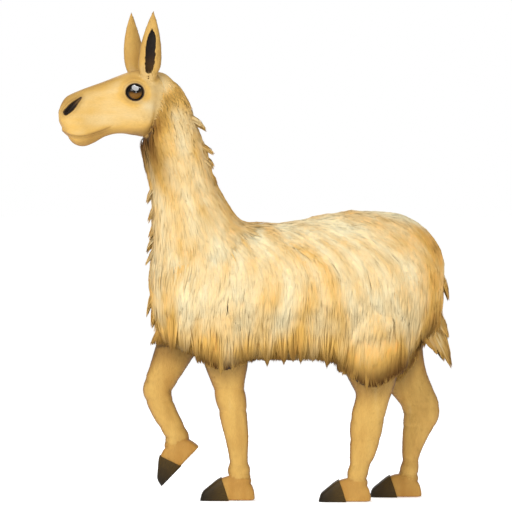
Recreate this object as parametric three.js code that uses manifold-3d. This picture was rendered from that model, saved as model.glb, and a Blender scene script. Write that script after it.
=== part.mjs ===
// A life-size llama, walking, with its right forefoot lifted. Millimetres, +Z up; the head points to -X and
// the animal's left side is -Y. Three feet stand on the floor at z = 0.
//
// Every form starts as a sphere's net of points that is moulded to a swept body, a lock or a toe. The flesh
// meets in thin parting cuts or face to face, 0.4 mm apart. The coat is built lock by lock over a core that
// lies half the coat's depth under its outline, and each lock tapers to a tip that lies on that outline.

import * as THREE from "three";
import { mergeVertices } from "three/addons/utils/BufferGeometryUtils.js";
import Module from "manifold-3d";

const wasm = await Module();
wasm.setup();

// ---------------------------------------------------------------- driving dimensions

const GAP = 0.4; // between neighbouring nodes
const LOCK_GAP = 0.8; // round the locks of a neighbouring node
const DEGREE = Math.PI / 180;

const TRUNK_FRONT = -398; // front of the chest
const TRUNK_BACK = 706; // back of the rump
const HEM = 514; // height of the tips of the belly coat
const THIGH_HEM = 424; // height of the tips over the thighs
const ELBOW_HEM = 486; // height of the tips over the standing foreleg
const LIFTED_HEM = 556; // height of the tips over the lifted foreleg
const RUMP_HEM = 606; // height of the tips beside the tail

const HEAD_YAW = 16 * DEGREE; // the head turns a little to the animal's left
const POLL = new THREE.Vector3(-345, 0, 0); // the point that the head turns about
const EYE = { u: 124, side: 50, z: 1510, radius: 36 };
const EAR = { length: 250, width: 84, depth: 42, foot: 1568, spread: 44 };

const SOLE_LENGTH = 204; // from heel to nail tip
const HIND_SHARE = 0.95; // the hind feet are a little smaller than the fore feet
const ANKLE = 75; // height of the ankle over the sole
const TOE_SIDE = 24; // from the foot's middle to the middle of each toe
const LIFTED_PITCH = 46 * DEGREE; // the lifted foot's toes point down

// Depth of the coat under its outline, by part; the core lies at half of it.
const COAT = { back: 30, flank: 54, belly: 58, neck: 42, tail: 34 };

const COLOURS = {
  coat: { color: 0xe9cd92, roughness: 0.95 },
  face: { color: 0xe3bc78, roughness: 0.9 },
  leg: { color: 0xd9ab62, roughness: 0.9 },
  nail: { color: 0x33240f, roughness: 0.45 },
  eye: { color: 0x1c1006, roughness: 0.08 },
};

// ---------------------------------------------------------------- moulding and joining

const vec = (x, y, z) => new THREE.Vector3(x, y, z);
const mix = THREE.MathUtils.lerp;
const bell = (x, middle, width) => Math.exp(-(((x - middle) / width) ** 2));
const STILL = new THREE.Matrix4();

// A repeatable random number from -1 to 1, so that no two locks are alike.
let seed = 7;
function chance() {
  seed = (seed * 16807) % 2147483647;
  return (2 * seed) / 2147483647 - 1;
}

// A smooth value along a few numbers that are evenly spaced from 0 to 1.
function profile(values) {
  const curve = new THREE.CatmullRomCurve3(values.map((v) => vec(v, 0, 0)), false, "catmullrom");
  return (share) => curve.getPoint(THREE.MathUtils.clamp(share, 0, 1)).x;
}

// A closed solid from a three.js geometry, placed by a matrix and turned outside out.
function solid(geometry, matrix) {
  geometry.applyMatrix4(matrix);
  geometry.deleteAttribute("normal");
  geometry.deleteAttribute("uv");
  const merged = mergeVertices(geometry);
  const triVerts = new Uint32Array(merged.index.array);
  const vertProperties = merged.attributes.position.array;
  const make = () => new wasm.Manifold(new wasm.Mesh({ numProp: 3, vertProperties, triVerts }));
  const made = make();
  if (made.volume() > 0) return made;
  for (let i = 0; i < triVerts.length; i += 3) {
    [triVerts[i + 1], triVerts[i + 2]] = [triVerts[i + 2], triVerts[i + 1]];
  }
  return make();
}

// A sphere's net of points, each moved to place(row, turn): row counts from pole to pole, turn goes round.
function mould(sides, rows, place, matrix = STILL) {
  const geometry = new THREE.SphereGeometry(1, sides, rows);
  const points = geometry.attributes.position;
  for (let i = 0; i < points.count; i++) {
    const row = Math.floor(i / (sides + 1));
    const turn = (((i % (sides + 1)) % sides) / sides) * 2 * Math.PI;
    const p = place(row, turn);
    points.setXYZ(i, p.x, p.y, p.z);
  }
  return solid(geometry, matrix);
}

const union = (solids) => solids.reduce((sum, s) => sum.add(s));

// The largest closed surface of a solid: it fills sealed hollows and drops loose scraps.
const largest = (s) => s.decompose().reduce((a, b) => (b.volume() > a.volume() ? b : a));

// A solid ball with three radii, centred and turned by a matrix.
function ball(radii, matrix, sides = 12, rows = 8) {
  const geometry = new THREE.SphereGeometry(1, sides, rows);
  geometry.scale(radii.x, radii.y, radii.z);
  return solid(geometry, matrix);
}

const placed = (position, rotation = new THREE.Euler()) =>
  new THREE.Matrix4().compose(
    position,
    new THREE.Quaternion().setFromEuler(rotation),
    vec(1, 1, 1),
  );

const box = (size, matrix) => solid(new THREE.BoxGeometry(size.x, size.y, size.z), matrix);

// The pieces that a thin cut parts a solid into, sorted by the height of their middles, highest first.
function part(whole, cut) {
  const height = (s) => s.boundingBox().min[2] + s.boundingBox().max[2];
  return whole
    .subtract(cut)
    .decompose()
    .filter((s) => s.volume() > 500)
    .sort((a, b) => height(b) - height(a));
}

// ---------------------------------------------------------------- swept bodies

// A body swept along a line in the side plane. Each station holds the ring's centre x, y, z and its reach:
// over (towards the spine, the nape or a leg's rear), under (towards the belly, the throat or a leg's front)
// and side. A cap rounds each end over a share of the length. power squares the ring, 2 being an ellipse.
function sweep({ stations, caps = [0.004, 0.004], power = 2, capPower = 2 }) {
  const curveOf = (points) => new THREE.CatmullRomCurve3(points, false, "catmullrom");
  const line = curveOf(stations.map(([x, y, z]) => vec(x, y, z)));
  const reach = curveOf(stations.map(([, , , over, under, side]) => vec(over, under, side)));
  const round = (share) => (1 - (1 - Math.min(1, share)) ** capPower) ** (1 / capPower);

  // The point at a share t of the length and a turn from the over side, lifted off the outline.
  function at(t, turn, lift = 0) {
    const middle = line.getPoint(t);
    const along = line.getTangent(t);
    const over = vec(-along.z, 0, along.x).normalize();
    const size = reach.getPoint(t);
    const cap = round(t / caps[0]) * round((1 - t) / caps[1]);
    const c = Math.cos(turn);
    const s = Math.sin(turn);
    const squared = (Math.abs(c) ** power + Math.abs(s) ** power) ** (-1 / power);
    const rise = ((c > 0 ? size.x : size.y) + lift) * c * squared * cap;
    const out = (size.z + lift) * s * squared * cap;
    const end = lift * (Math.max(0, 1 - (1 - t) / 0.12) - Math.max(0, 1 - t / 0.12));
    return middle
      .addScaledVector(over, rise)
      .addScaledVector(along, end)
      .add(vec(0, out, 0));
  }

  // The whole body as a solid, with its outline lifted by a number or by a function of t and turn.
  function body({ sides, rows, capRows = [1, 1], lift = 0, matrix = STILL }) {
    const lifted = typeof lift === "function" ? lift : () => lift;
    const quarter = (share) => 1 - Math.cos((share * Math.PI) / 2);
    const shares = [];
    for (let i = 0; i < capRows[0]; i++) shares.push(caps[0] * quarter(i / capRows[0]));
    for (let i = 0; i <= rows; i++) shares.push(mix(caps[0], 1 - caps[1], i / rows));
    for (let i = capRows[1] - 1; i >= 0; i--) shares.push(1 - caps[1] * quarter(i / capRows[1]));
    const last = shares.length - 1;
    const place = (row, turn) =>
      at(shares[row], turn, lifted(shares[row], row % last === 0 ? 0 : turn));
    return mould(sides, last, place, matrix);
  }

  // Which way is outwards at a point of the outline.
  const outAt = (t, turn) => at(t, turn, 5).sub(at(t, turn, 0)).normalize();

  return { at, outAt, body };
}

// ---------------------------------------------------------------- locks of the coat

const LOCK_ROWS = 4;
const LOCK_WIDTH = profile([0.74, 1, 0.96, 0.72, 0]); // share of the full width, from root to tip
const LOCK_THICK = profile([1, 0.95, 0.8, 0.55, 0.1]);

// A flat, tapered lock along knots {p, out}, with a flat underside and a low ridge along its back. grow
// makes it thicker and wider all round.
function lock({ knots, width, thick }, grow = 0) {
  const path = new THREE.CatmullRomCurve3(knots.map((k) => k.p), false, "catmullrom");
  const outs = new THREE.CatmullRomCurve3(knots.map((k) => k.out), false, "catmullrom");
  return mould(3, LOCK_ROWS + 1, (row, turn) => {
    const share = THREE.MathUtils.clamp((row - 1) / (LOCK_ROWS - 1), 0, 1);
    const middle = path.getPoint(share);
    const along = path.getTangent(share);
    if (row === 0) return middle.addScaledVector(along, -grow);
    if (row > LOCK_ROWS) return middle.addScaledVector(along, 3 * grow);
    const across = along.clone().cross(outs.getPoint(share)).normalize();
    const up = across.clone().cross(along).normalize();
    const half = (width / 2) * Math.max(0.02, LOCK_WIDTH(share)) + 6 * grow;
    const rise = thick * LOCK_THICK(share);
    return middle
      .addScaledVector(across, 1.155 * half * Math.sin(turn))
      .addScaledVector(up, Math.cos(turn) > 0 ? 0.55 * rise + 2 * grow : -0.45 * rise - grow);
  });
}

// A lock's knots over a swept body, from (t, turn) to (t + dt, turn + dTurn), with a lift for each knot.
function lieOn(body, { t, turn, dt, dTurn, lifts }) {
  return lifts.map((lift, i) => {
    const share = i / (lifts.length - 1);
    const here = [t + dt * share, turn + dTurn * share];
    return { p: body.at(here[0], here[1], lift), out: body.outAt(here[0], here[1]) };
  });
}

// ---------------------------------------------------------------- trunk

// Profiles along the trunk, evenly spaced from the chest to the rump: the coat's outline.
const trunkTop = [962, 1006, 1024, 1022, 1034, 1062, 1074, 1050, 1010];
const trunkMiddle = [775, 780, 785, 790, 795, 800, 800, 790, 780];
const trunkBottom = [645, 592, 562, 548, 546, 546, 546, 560, 610];
const trunkSide = [138, 176, 202, 218, 230, 236, 230, 206, 165];

const trunk = sweep({
  stations: trunkMiddle.map((z, i) => [
    mix(TRUNK_FRONT, TRUNK_BACK, i / (trunkMiddle.length - 1)),
    0,
    z,
    trunkTop[i] - z,
    z - trunkBottom[i],
    trunkSide[i],
  ]),
  caps: [0.13, 0.2],
  power: 2.2,
  capPower: 2.3,
});

// The coat is shallow along the spine and deepest on the flanks and the belly.
function trunkCoat(t, turn) {
  const c = Math.cos(turn);
  return c > 0 ? mix(COAT.flank, COAT.back, c * c) : mix(COAT.flank, COAT.belly, c * c);
}
const trunkInset = (t, turn) => -trunkCoat(t, turn) / 2;
const trunkAt = (x) => (x - TRUNK_FRONT) / (TRUNK_BACK - TRUNK_FRONT);

// How far down the coat's tips hang at x, on the left (-1) or the right (1).
function hemAt(x, side) {
  const elbow = side < 0 ? bell(x, -118, 62) * (HEM - ELBOW_HEM) : 0;
  const lifted = bell(x, -330, 90) * (LIFTED_HEM - HEM + (side < 0 ? 0 : 8));
  const thigh = bell(x, side < 0 ? 430 : 490, side < 0 ? 112 : 90) * (HEM - THIGH_HEM);
  const rump = THREE.MathUtils.smoothstep(x, 560, 650) * (RUMP_HEM - HEM);
  return HEM - elbow + lifted - thigh + rump;
}

const TRUNK_TIERS = [
  { turn: 6, dTurn: 48, count: 6, width: 176 },
  { turn: 38, dTurn: 44, count: 6, width: 180 },
  { turn: 66, dTurn: 40, count: 6, width: 180 },
];
const HEM_LOCKS = 11; // on each side
const SPINE_LOCKS = 6;
const COAT_LEAN = profile([-0.05, -0.045, -0.02, 0.015, 0.05, 0.06]); // along the trunk, towards the tail

function trunkLocks() {
  const locks = [];
  for (const side of [-1, 1]) {
    for (const [row, tier] of TRUNK_TIERS.entries()) {
      for (let i = 0; i < tier.count; i++) {
        const share = (i + 0.4 + 0.25 * (row % 2) + 0.12 * chance()) / tier.count;
        const t = mix(0.17, 0.87, share);
        const turn = (tier.turn + 3 * chance()) * DEGREE * side;
        const depth = trunkCoat(t, turn);
        const lifts = [-depth * 0.5 - 12, -depth * 0.22, -5, -1 + 3 * chance()];
        const dTurn = (tier.dTurn + 4 * chance()) * DEGREE * side;
        const knots = lieOn(trunk, { t, turn, dt: COAT_LEAN(t) + 0.01 * chance(), dTurn, lifts });
        locks.push({ knots, width: tier.width * (1 + 0.1 * chance()), thick: 24 });
      }
    }
    locks.push(...hemLocks(side));
  }
  for (let i = 0; i < SPINE_LOCKS; i++) {
    const t = mix(0.22, 0.8, (i + 0.5) / SPINE_LOCKS);
    const lifts = [-COAT.back * 0.5 - 10, -8, -4, 0];
    const start = { t, turn: 0.12 * chance(), dt: 0.16, dTurn: 0.2 * chance(), lifts };
    locks.push({ knots: lieOn(trunk, start), width: 132, thick: 20 });
  }
  locks.push(...rumpLocks(), ...chestLocks());
  return locks;
}

// The lowest tier falls free of the flank and ends at the hem.
function hemLocks(side) {
  const locks = [];
  for (let i = 0; i < HEM_LOCKS; i++) {
    const x = mix(-345, 636, (i + 0.5 + 0.15 * chance()) / HEM_LOCKS);
    const t = trunkAt(x);
    const turn = 98 * DEGREE * side;
    const lean = COAT_LEAN(t) * 700;
    const root = trunk.at(t, turn, -COAT.flank * 0.5 - 14);
    const shoulder = trunk.at(t, turn + 12 * DEGREE * side, -6);
    const tip = vec(x + lean, shoulder.y * 0.84, hemAt(x + lean, side) + 7 * chance());
    const fall = shoulder.clone().lerp(tip, 0.55).add(vec(0, 9 * side, 0));
    const out = vec(0, side, 0.15);
    const knots = [root, shoulder, fall, tip].map((p) => ({ p, out }));
    locks.push({ knots, width: 148 * (1 + 0.08 * chance()), thick: 26 });
  }
  return locks;
}

// A lock that falls round the front of the chest or the back of the rump: end is that end's middle and
// which way it faces, reach(z) how far the outline stands out from there, and stretch its breadth.
function fallingLock(end, degrees, heights, lifts, width) {
  const a = degrees * DEGREE;
  const out = vec(end.faces * Math.cos(a), Math.sin(a), 0.1);
  const knots = heights.map((z, i) => {
    const reach = end.reach(z) + lifts[i];
    return { p: vec(end.x + reach * out.x, end.stretch * reach * out.y, z), out };
  });
  return { knots, width, thick: 24 };
}

const RUMP = { x: 545, faces: 1, stretch: 1.18, reach: (z) => 170 - 104 * ((z - 790) / 225) ** 2 };
const CHEST = { x: -255, faces: -1, stretch: 1.02, reach: (z) => 144 - 50 * ((z - 750) / 190) ** 2 };

function rumpLocks() {
  const upper = [-60, -20, 20, 60].map((degrees) =>
    fallingLock(RUMP, degrees, [1004, 950, 885, 820], [-50, -10, -1, 3], 134),
  );
  const lower = [-78, -40, 0, 40, 78].map((degrees) =>
    fallingLock(RUMP, degrees, [905, 850, 790, 732], [-46, -10, 0, 9], 126),
  );
  return [...upper, ...lower];
}

function chestLocks() {
  const upper = [-60, 0, 60].map((degrees) =>
    fallingLock(CHEST, degrees, [900, 850, 800, 748], [-40, -12, 0, 2], 128),
  );
  const lower = [-80, -44, -14, 14, 44, 80].map((degrees) => {
    const tip = 668 - 0.5 * Math.abs(degrees);
    return fallingLock(CHEST, degrees, [815, 765, 715, tip], [-44, -8, 4, 12], 104);
  });
  return [...upper, ...lower];
}

// ---------------------------------------------------------------- neck

const neck = sweep({
  stations: [
    [-368, 0, 1602, 52, 18, 32],
    [-374, 0, 1528, 94, 74, 54],
    [-356, 0, 1430, 128, 98, 78],
    [-330, 0, 1350, 122, 112, 90],
    [-294, 0, 1259, 120, 119, 96],
    [-270, 0, 1156, 122, 124, 102],
    [-246, 0, 1055, 152, 148, 120],
    [-214, 0, 944, 190, 182, 148],
    [-180, 0, 824, 200, 190, 160],
  ],
  caps: [0.08, 0.1],
});

const NECK_RINGS = [
  { t: 0.22, from: 20, to: 110, count: 2, width: 104 },
  { t: 0.35, from: 22, to: 150, count: 3, width: 106 },
  { t: 0.5, from: 24, to: 160, count: 3, width: 116 },
  { t: 0.66, from: 26, to: 160, count: 3, width: 132 },
];
// Where the locks down the nape and down the throat end, and how far their tips stand out.
const NAPE_LOCKS = [[0.365, 12], [0.47, 12], [0.535, 11], [0.6, 9], [0.66, 9]];
const THROAT_LOCKS = [[0.55, 0], [0.69, 11], [0.775, 11], [0.845, 12], [0.91, 12]];

function neckLocks() {
  const locks = [];
  const root = -COAT.neck / 2 - 12;
  for (const ring of NECK_RINGS) {
    for (let i = 0; i < 2 * ring.count; i++) {
      const side = i < ring.count ? -1 : 1;
      const share = ((i % ring.count) + 0.5 + 0.12 * chance()) / ring.count;
      const turn = side * mix(ring.from, ring.to, share) * DEGREE;
      const lifts = [root, -10, 2, 9 + 4 * chance()];
      const start = { t: ring.t + 0.015 * chance(), turn, dt: 0.24, dTurn: 0.05 * chance(), lifts };
      locks.push({ knots: lieOn(neck, start), width: ring.width, thick: 22 });
    }
  }
  for (const [ends, turn] of [[NAPE_LOCKS, 0], [THROAT_LOCKS, Math.PI]]) {
    for (const [tip, lift] of ends) {
      const start = { t: tip - 0.19, turn: turn + 0.1 * chance(), dt: 0.19, dTurn: 0 };
      const knots = lieOn(neck, { ...start, lifts: [root, -14, -6, lift] });
      locks.push({ knots, width: 92, thick: 24 });
    }
  }
  return locks;
}

// ---------------------------------------------------------------- tail

const tail = sweep({
  stations: [
    [628, 0, 872, 34, 34, 34],
    [656, 0, 800, 38, 46, 46],
    [652, 0, 700, 38, 52, 54],
    [656, 0, 625, 40, 48, 50],
    [674, 0, 565, 24, 24, 30],
    [700, 0, 512, 10, 12, 12],
  ],
  caps: [0.1, 0.05],
});

const TAIL_TIP = [vec(678, 0, 620), vec(690, 0, 572), vec(706, 0, 530), vec(731, 0, 492)];

function tailLocks() {
  const locks = [];
  for (const [row, t] of [0.3, 0.5].entries()) {
    for (let i = 0; i < 5; i++) {
      const turn = ((i + 0.5 * row) / 5) * 2 * Math.PI;
      const lifts = row ? [-26, -8, 0, 6] : [-26, -8, 3, 12];
      const start = { t, turn, dt: row ? 0.4 : 0.34, dTurn: 0, lifts };
      locks.push({ knots: lieOn(tail, start), width: 72, thick: 20 });
    }
  }
  const out = vec(1, 0, 0.3);
  locks.push({ knots: TAIL_TIP.map((p) => ({ p, out })), width: 60, thick: 24 });
  return locks;
}

// ---------------------------------------------------------------- legs and feet

// Stations of each leg from inside the trunk to the ankle; over is the rear, under the front. cut is the
// knee or hock, foot the ankle and the sole's pitch.
const LEGS = {
  fore_left: {
    stations: [
      [-135, -118, 720, 90, 95, 60],
      [-122, -112, 620, 92, 95, 62],
      [-112, -100, 510, 88, 80, 56],
      [-104, -88, 425, 67, 56, 48],
      [-92, -78, 365, 62, 53, 46],
      [-85, -72, 300, 58, 48, 39],
      [-74, -66, 225, 52, 40, 35],
      [-67, -62, 155, 42, 34, 33],
      [-64, -60, 112, 46, 40, 38],
      [-60, -60, 78, 38, 38, 37],
    ],
    cut: { x: -94, z: 376 },
    foot: { x: -60, y: -60, z: 0, pitch: 0, share: 1 },
  },
  fore_right: {
    stations: [
      [-215, 112, 740, 90, 90, 60],
      [-262, 112, 650, 86, 86, 62],
      [-302, 108, 565, 84, 72, 56],
      [-340, 104, 478, 70, 60, 48],
      [-368, 100, 402, 58, 53, 45],
      [-345, 98, 325, 51, 48, 39],
      [-312, 96, 262, 48, 42, 36],
      [-297, 95, 214, 52, 32, 38],
      [-306, 95, 184, 44, 30, 37],
    ],
    cut: { x: -366, z: 396, pitch: 3 },
    foot: { x: -304, y: 95, z: 124, pitch: LIFTED_PITCH, share: 1 },
  },
  hind_left: {
    stations: [
      [450, -118, 740, 120, 125, 78],
      [440, -122, 620, 118, 122, 80],
      [425, -124, 520, 110, 108, 70],
      [428, -124, 440, 92, 82, 58],
      [424, -124, 385, 73, 58, 49],
      [408, -124, 315, 71, 58, 45],
      [400, -124, 255, 68, 54, 42],
      [390, -124, 188, 58, 46, 38],
      [376, -124, 128, 44, 34, 34],
      [372, -124, 98, 44, 36, 38],
      [371, -124, 74, 36, 34, 37],
    ],
    cut: { x: 402, z: 262, pitch: -6 },
    foot: { x: 371, y: -124, z: 0, pitch: 0, share: HIND_SHARE },
  },
  hind_right: {
    stations: [
      [500, 118, 740, 120, 125, 78],
      [512, 122, 620, 116, 118, 80],
      [535, 124, 520, 98, 104, 68],
      [566, 124, 440, 82, 84, 58],
      [596, 124, 378, 76, 68, 50],
      [618, 124, 318, 74, 66, 46],
      [602, 124, 248, 54, 56, 40],
      [586, 124, 178, 38, 42, 35],
      [581, 124, 128, 31, 36, 32],
      [576, 124, 98, 35, 38, 37],
      [571, 124, 74, 32, 34, 36],
    ],
    cut: { x: 608, z: 286, pitch: 12 },
    foot: { x: 566, y: 124, z: 0, pitch: 0, share: HIND_SHARE },
  },
};

// A toe's middle line and reach, from the nail's tip to the heel; its lower half is cut off at the sole.
const HEEL = 60;
const toe = sweep({
  stations: [
    [HEEL - SOLE_LENGTH, 0, 0, 24, 30, 12],
    [-106, 0, 0, 56, 30, 20],
    [-74, 0, 0, 80, 30, 22],
    [-38, 0, 0, 92, 30, 23],
    [0, 0, 0, 84, 30, 24],
    [32, 0, 0, 70, 30, 25],
    [HEEL, 0, 0, 48, 30, 21],
  ],
  caps: [0.06, 0.09],
  power: 2.4,
});

// Both toes and the ankle over them, on a flat sole at z = 0 with the ankle over the origin.
function footSolid(matrix) {
  const set = (x, y, z) => matrix.clone().multiply(placed(vec(x, y, z)));
  const toes = [-TOE_SIDE, TOE_SIDE].map((y) =>
    toe.body({ sides: 8, rows: 5, capRows: [1, 1], matrix: set(0, y, 0) }),
  );
  const ankle = ball(vec(43, 44, 40), set(4, 0, ANKLE), 8, 6);
  const belowSole = box(vec(600, 400, 200), set(0, 0, -100));
  return union([...toes, ankle]).subtract(belowSole);
}

// Turns something on the sole about the ankle by the foot's pitch and sets it where the foot is.
function footMatrix({ x, y, z, pitch, share }) {
  const about = placed(vec(0, 0, ANKLE), new THREE.Euler(0, -pitch, 0));
  const sized = new THREE.Matrix4().makeScale(share, share, share);
  return placed(vec(x, y, z)).multiply(sized).multiply(about).multiply(placed(vec(0, 0, -ANKLE)));
}

// The cut between a toe's flesh and its nail leans back up the toe; the one over it parts foot and leg.
const NAIL_CUT = placed(vec(-53, 0, 38), new THREE.Euler(0, -18 * DEGREE, 0));
const ANKLE_CUT = placed(vec(0, 0, ANKLE + 22), new THREE.Euler(0, 4 * DEGREE, 0));

function legPieces(name, { stations, cut, foot }) {
  const limb = sweep({ stations, caps: [0.05, 0.03], power: 2.1 });
  const matrix = footMatrix(foot);
  const shank = limb.body({ sides: 10, rows: 12 });
  const whole = shank.add(footSolid(matrix)).subtract(trunkCoreGrown);
  const kneeTurn = new THREE.Euler(0, (cut.pitch ?? 0) * DEGREE, 0);
  const knee = box(vec(220, 220, GAP), placed(vec(cut.x, foot.y, cut.z), kneeTurn));
  const [upper, below] = part(whole, knee);
  const ankle = box(vec(190, 150, GAP), matrix.clone().multiply(ANKLE_CUT));
  const [lower, toes] = part(below, ankle);
  const nailSlab = box(vec(GAP, 150, 190), matrix.clone().multiply(NAIL_CUT));
  const pieces = toes.subtract(nailSlab).decompose().filter((s) => s.volume() > 500);
  pieces.sort((a, b) => b.volume() - a.volume());
  const [flesh, ...nails] = pieces;
  const middle = (s) => s.boundingBox().min[1] + s.boundingBox().max[1];
  nails.sort((a, b) => Math.abs(middle(a)) - Math.abs(middle(b)));
  return {
    grown: limb.body({ sides: 10, rows: 12, lift: GAP + 0.4 }),
    nodes: [
      [`leg_${name}_upper`, upper, COLOURS.leg],
      [`leg_${name}_lower`, lower, COLOURS.leg],
      [`foot_${name}`, flesh, COLOURS.leg],
      [`nail_${name}_inner`, nails[0], COLOURS.nail],
      [`nail_${name}_outer`, nails[1], COLOURS.nail],
    ],
  };
}

// ---------------------------------------------------------------- head

// Profiles of the head from the back of the skull (u = 0) to the tip of the nose, evenly spaced.
const HEAD_LENGTH = 396;
const headTop = [1562, 1592, 1592, 1575, 1556, 1539, 1521, 1500, 1468];
const headMiddle = [1480, 1488, 1486, 1476, 1462, 1446, 1432, 1420, 1412];
const headBottom = [1398, 1356, 1344, 1347, 1351, 1341, 1317, 1312, 1364];
const headSide = [54, 72, 76, 70, 57, 49, 47, 48, 40];

const head = sweep({
  stations: headMiddle.map((z, i) => [
    POLL.x - (HEAD_LENGTH * i) / (headMiddle.length - 1),
    0,
    z,
    z - headBottom[i],
    headTop[i] - z,
    headSide[i],
  ]),
  caps: [0.16, 0.11],
  power: 2.15,
  capPower: 2.2,
});

const onHead = (u, y, z) => vec(POLL.x - u, y, z);
const headMatrix = placed(POLL, new THREE.Euler(0, 0, HEAD_YAW)).multiply(
  placed(POLL.clone().negate()),
);
const onSkull = (position, rotation) => headMatrix.clone().multiply(placed(position, rotation));

// A groove or ridge of the head, a round bead along a curve, thickest in the middle.
function bead(points, radius, sides = 6, rows = 8) {
  const curve = new THREE.CatmullRomCurve3(points);
  const place = (row, turn) => {
    const share = row / rows;
    const middle = curve.getPoint(share);
    const along = curve.getTangent(share);
    const up = Math.abs(along.z) > 0.9 ? vec(1, 0, 0) : vec(0, 0, 1);
    const across = along.clone().cross(up).normalize();
    const over = across.clone().cross(along);
    const r = row % rows === 0 ? 0 : radius * (0.55 + 0.45 * Math.sin(share * Math.PI));
    return middle
      .addScaledVector(across, r * Math.cos(turn))
      .addScaledVector(over, r * Math.sin(turn));
  };
  return mould(sides, rows, place, headMatrix);
}

// A point on the head's side at u and z, lifted off it.
function onCheek(u, z, side, lift) {
  const t = u / HEAD_LENGTH;
  let low = 0;
  let high = Math.PI;
  for (let i = 0; i < 24; i++) {
    const mid = (low + high) / 2;
    if (head.at(t, mid).z < z) low = mid;
    else high = mid;
  }
  return head.at(t, low * side, headLift(t, low) + lift);
}

// The bowl of an orbit, in which the eyeball sits.
function orbit(side, grow) {
  const radii = vec(40 + grow, 19 + grow, 34 + grow);
  return ball(radii, onSkull(onHead(EYE.u, (EYE.side + 35) * side, EYE.z)), 14, 8);
}

// A point over the eye, at a turn round its almond opening.
function onLid(turn, side, lift) {
  const du = 30 * Math.cos(turn);
  const dz = (turn > 0 ? 26 : 24) * Math.sin(turn);
  const out = Math.sqrt(EYE.radius ** 2 - du ** 2 - dz ** 2) + lift;
  return onHead(EYE.u - du, (EYE.side + out) * side, EYE.z + dz);
}

// Low swellings and hollows of the head. turn is in degrees from the throat, round either side.
const SWELLINGS = [
  { u: 122, turn: 112, long: 46, round: 30, height: 9 }, // brow
  { u: 84, turn: 58, long: 52, round: 30, height: 9 }, // cheek
  { u: 176, turn: 84, long: 46, round: 16, height: 4 }, // cheekbone
  { u: 226, turn: 104, long: 46, round: 34, height: -6 }, // hollow before the eye
  { u: 340, turn: 66, long: 44, round: 28, height: 9 }, // upper lip
  { u: 350, turn: 122, long: 30, round: 20, height: 5 }, // nostril's wing
  { u: 326, turn: 0, long: 34, round: 44, height: 4 }, // chin
  { u: 300, turn: 30, long: 60, round: 12, height: -4 }, // under the mouth's corner
];

function headLift(t, turn) {
  const degrees = Math.abs(turn > Math.PI ? turn - 2 * Math.PI : turn) / DEGREE;
  const parts = SWELLINGS.map(
    (s) => s.height * bell(t * HEAD_LENGTH, s.u, s.long) * bell(degrees, s.turn, s.round),
  );
  return parts.reduce((sum, part) => sum + part);
}

// The head's outer forms: the skull with its swellings and orbits, the lids and the nostrils' rims.
function headForms(grow) {
  const net = { sides: 22, rows: 10, capRows: [3, 3], matrix: headMatrix };
  const skull = head.body({ ...net, lift: (t, turn) => headLift(t, turn) + grow });
  const forms = [skull.subtract(union([-1, 1].map((side) => orbit(side, -grow))))];
  for (const side of [-1, 1]) {
    const turns = [0.04, 0.28, 0.5, 0.72, 0.96].map((share) => share * Math.PI);
    forms.push(bead(turns.map((turn) => onLid(turn, side, 1)), 6 + grow));
    forms.push(bead(turns.map((turn) => onLid(-turn, side, 0)), 5 + grow));
    const rim = [322, 338, 356, 372].map((u, i) => onCheek(u, 1486 - 15 * i, side, 0));
    forms.push(bead(rim, 6 + grow, 5, 6));
  }
  return union(forms);
}

// What is cut into the head: the orbits, the nostrils, the line of the mouth and the lip's cleft.
function headCuts() {
  const cuts = [];
  for (const side of [-1, 1]) {
    cuts.push(eyeSolid(side, GAP));
    const slit = [326, 342, 358, 371].map((u, i) => onCheek(u, 1476 - 17 * i, side, 1));
    cuts.push(bead(slit, 8, 6, 6));
  }
  const lips = [244, 290, 332, 366].map((u, i) => [u, [1371, 1359, 1357, 1361][i]]);
  const left = lips.map(([u, z]) => onCheek(u, z, -1, 0));
  const right = lips.map(([u, z]) => onCheek(u, z, 1, 0)).reverse();
  cuts.push(bead([...left, onHead(HEAD_LENGTH - 6, 0, 1365), ...right], 4, 4, 18));
  const cleft = [1448, 1424, 1400, 1369].map((z, i) => onHead(HEAD_LENGTH - [7, 1, -1, 4][i], 0, z));
  cuts.push(bead(cleft, 3.6, 4, 6));
  return union(cuts);
}


// An eyeball, whose poles point out to the side so that its facets are even where it shows.
function eyeSolid(side, grow = 0) {
  const r = EYE.radius + grow;
  const outwards = new THREE.Euler(90 * DEGREE, 0, 0);
  return ball(vec(r, r, r), onSkull(onHead(EYE.u, EYE.side * side, EYE.z), outwards), 14, 10);
}

// An ear is a long cup: a leaf-shaped shell whose opening looks outwards and forwards.
function earSolid(side) {
  const width = profile([0.66, 0.98, 0.98, 0.8, 0.48, 0.05]);
  const bend = profile([0, 6, 9, 7, 1, -10]); // the tip curves in, as a banana does
  const rows = 9;
  const lean = side < 0 ? 2 : -5; // the left ear stands a little further back
  const fore = side < 0 ? 66 : 80;
  const matrix = onSkull(
    onHead(fore, EAR.spread * side, EAR.foot - 14),
    new THREE.Euler(-9 * side * DEGREE, lean * DEGREE, 14 * side * DEGREE),
  );
  const leaf = (shrink, lift) => {
    const place = (row, turn) => {
      const share = row === 0 ? 0 : mix(0.01, 1, (row - 1) / (rows - 1));
      const r = row % rows === 0 ? 0 : Math.max(0.05, width(share) - shrink) / 2;
      return vec(
        r * EAR.width * Math.cos(turn),
        side * (bend(share) + lift) + r * EAR.depth * Math.sin(turn),
        share * EAR.length + (lift ? 14 - 34 * share : 0),
      );
    };
    return mould(12, rows, place, matrix);
  };
  return leaf(0, 0).subtract(leaf(0.36, 15));
}

// ---------------------------------------------------------------- assembly

const trunkNet = { sides: 16, rows: 7, capRows: [2, 2] };
const trunkCore = trunk.body({ ...trunkNet, lift: trunkInset });
const trunkCoreGrown = trunk.body({ ...trunkNet, lift: (t, turn) => trunkInset(t, turn) + GAP });

const legs = Object.entries(LEGS).map(([name, leg]) => legPieces(name, leg));

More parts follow.
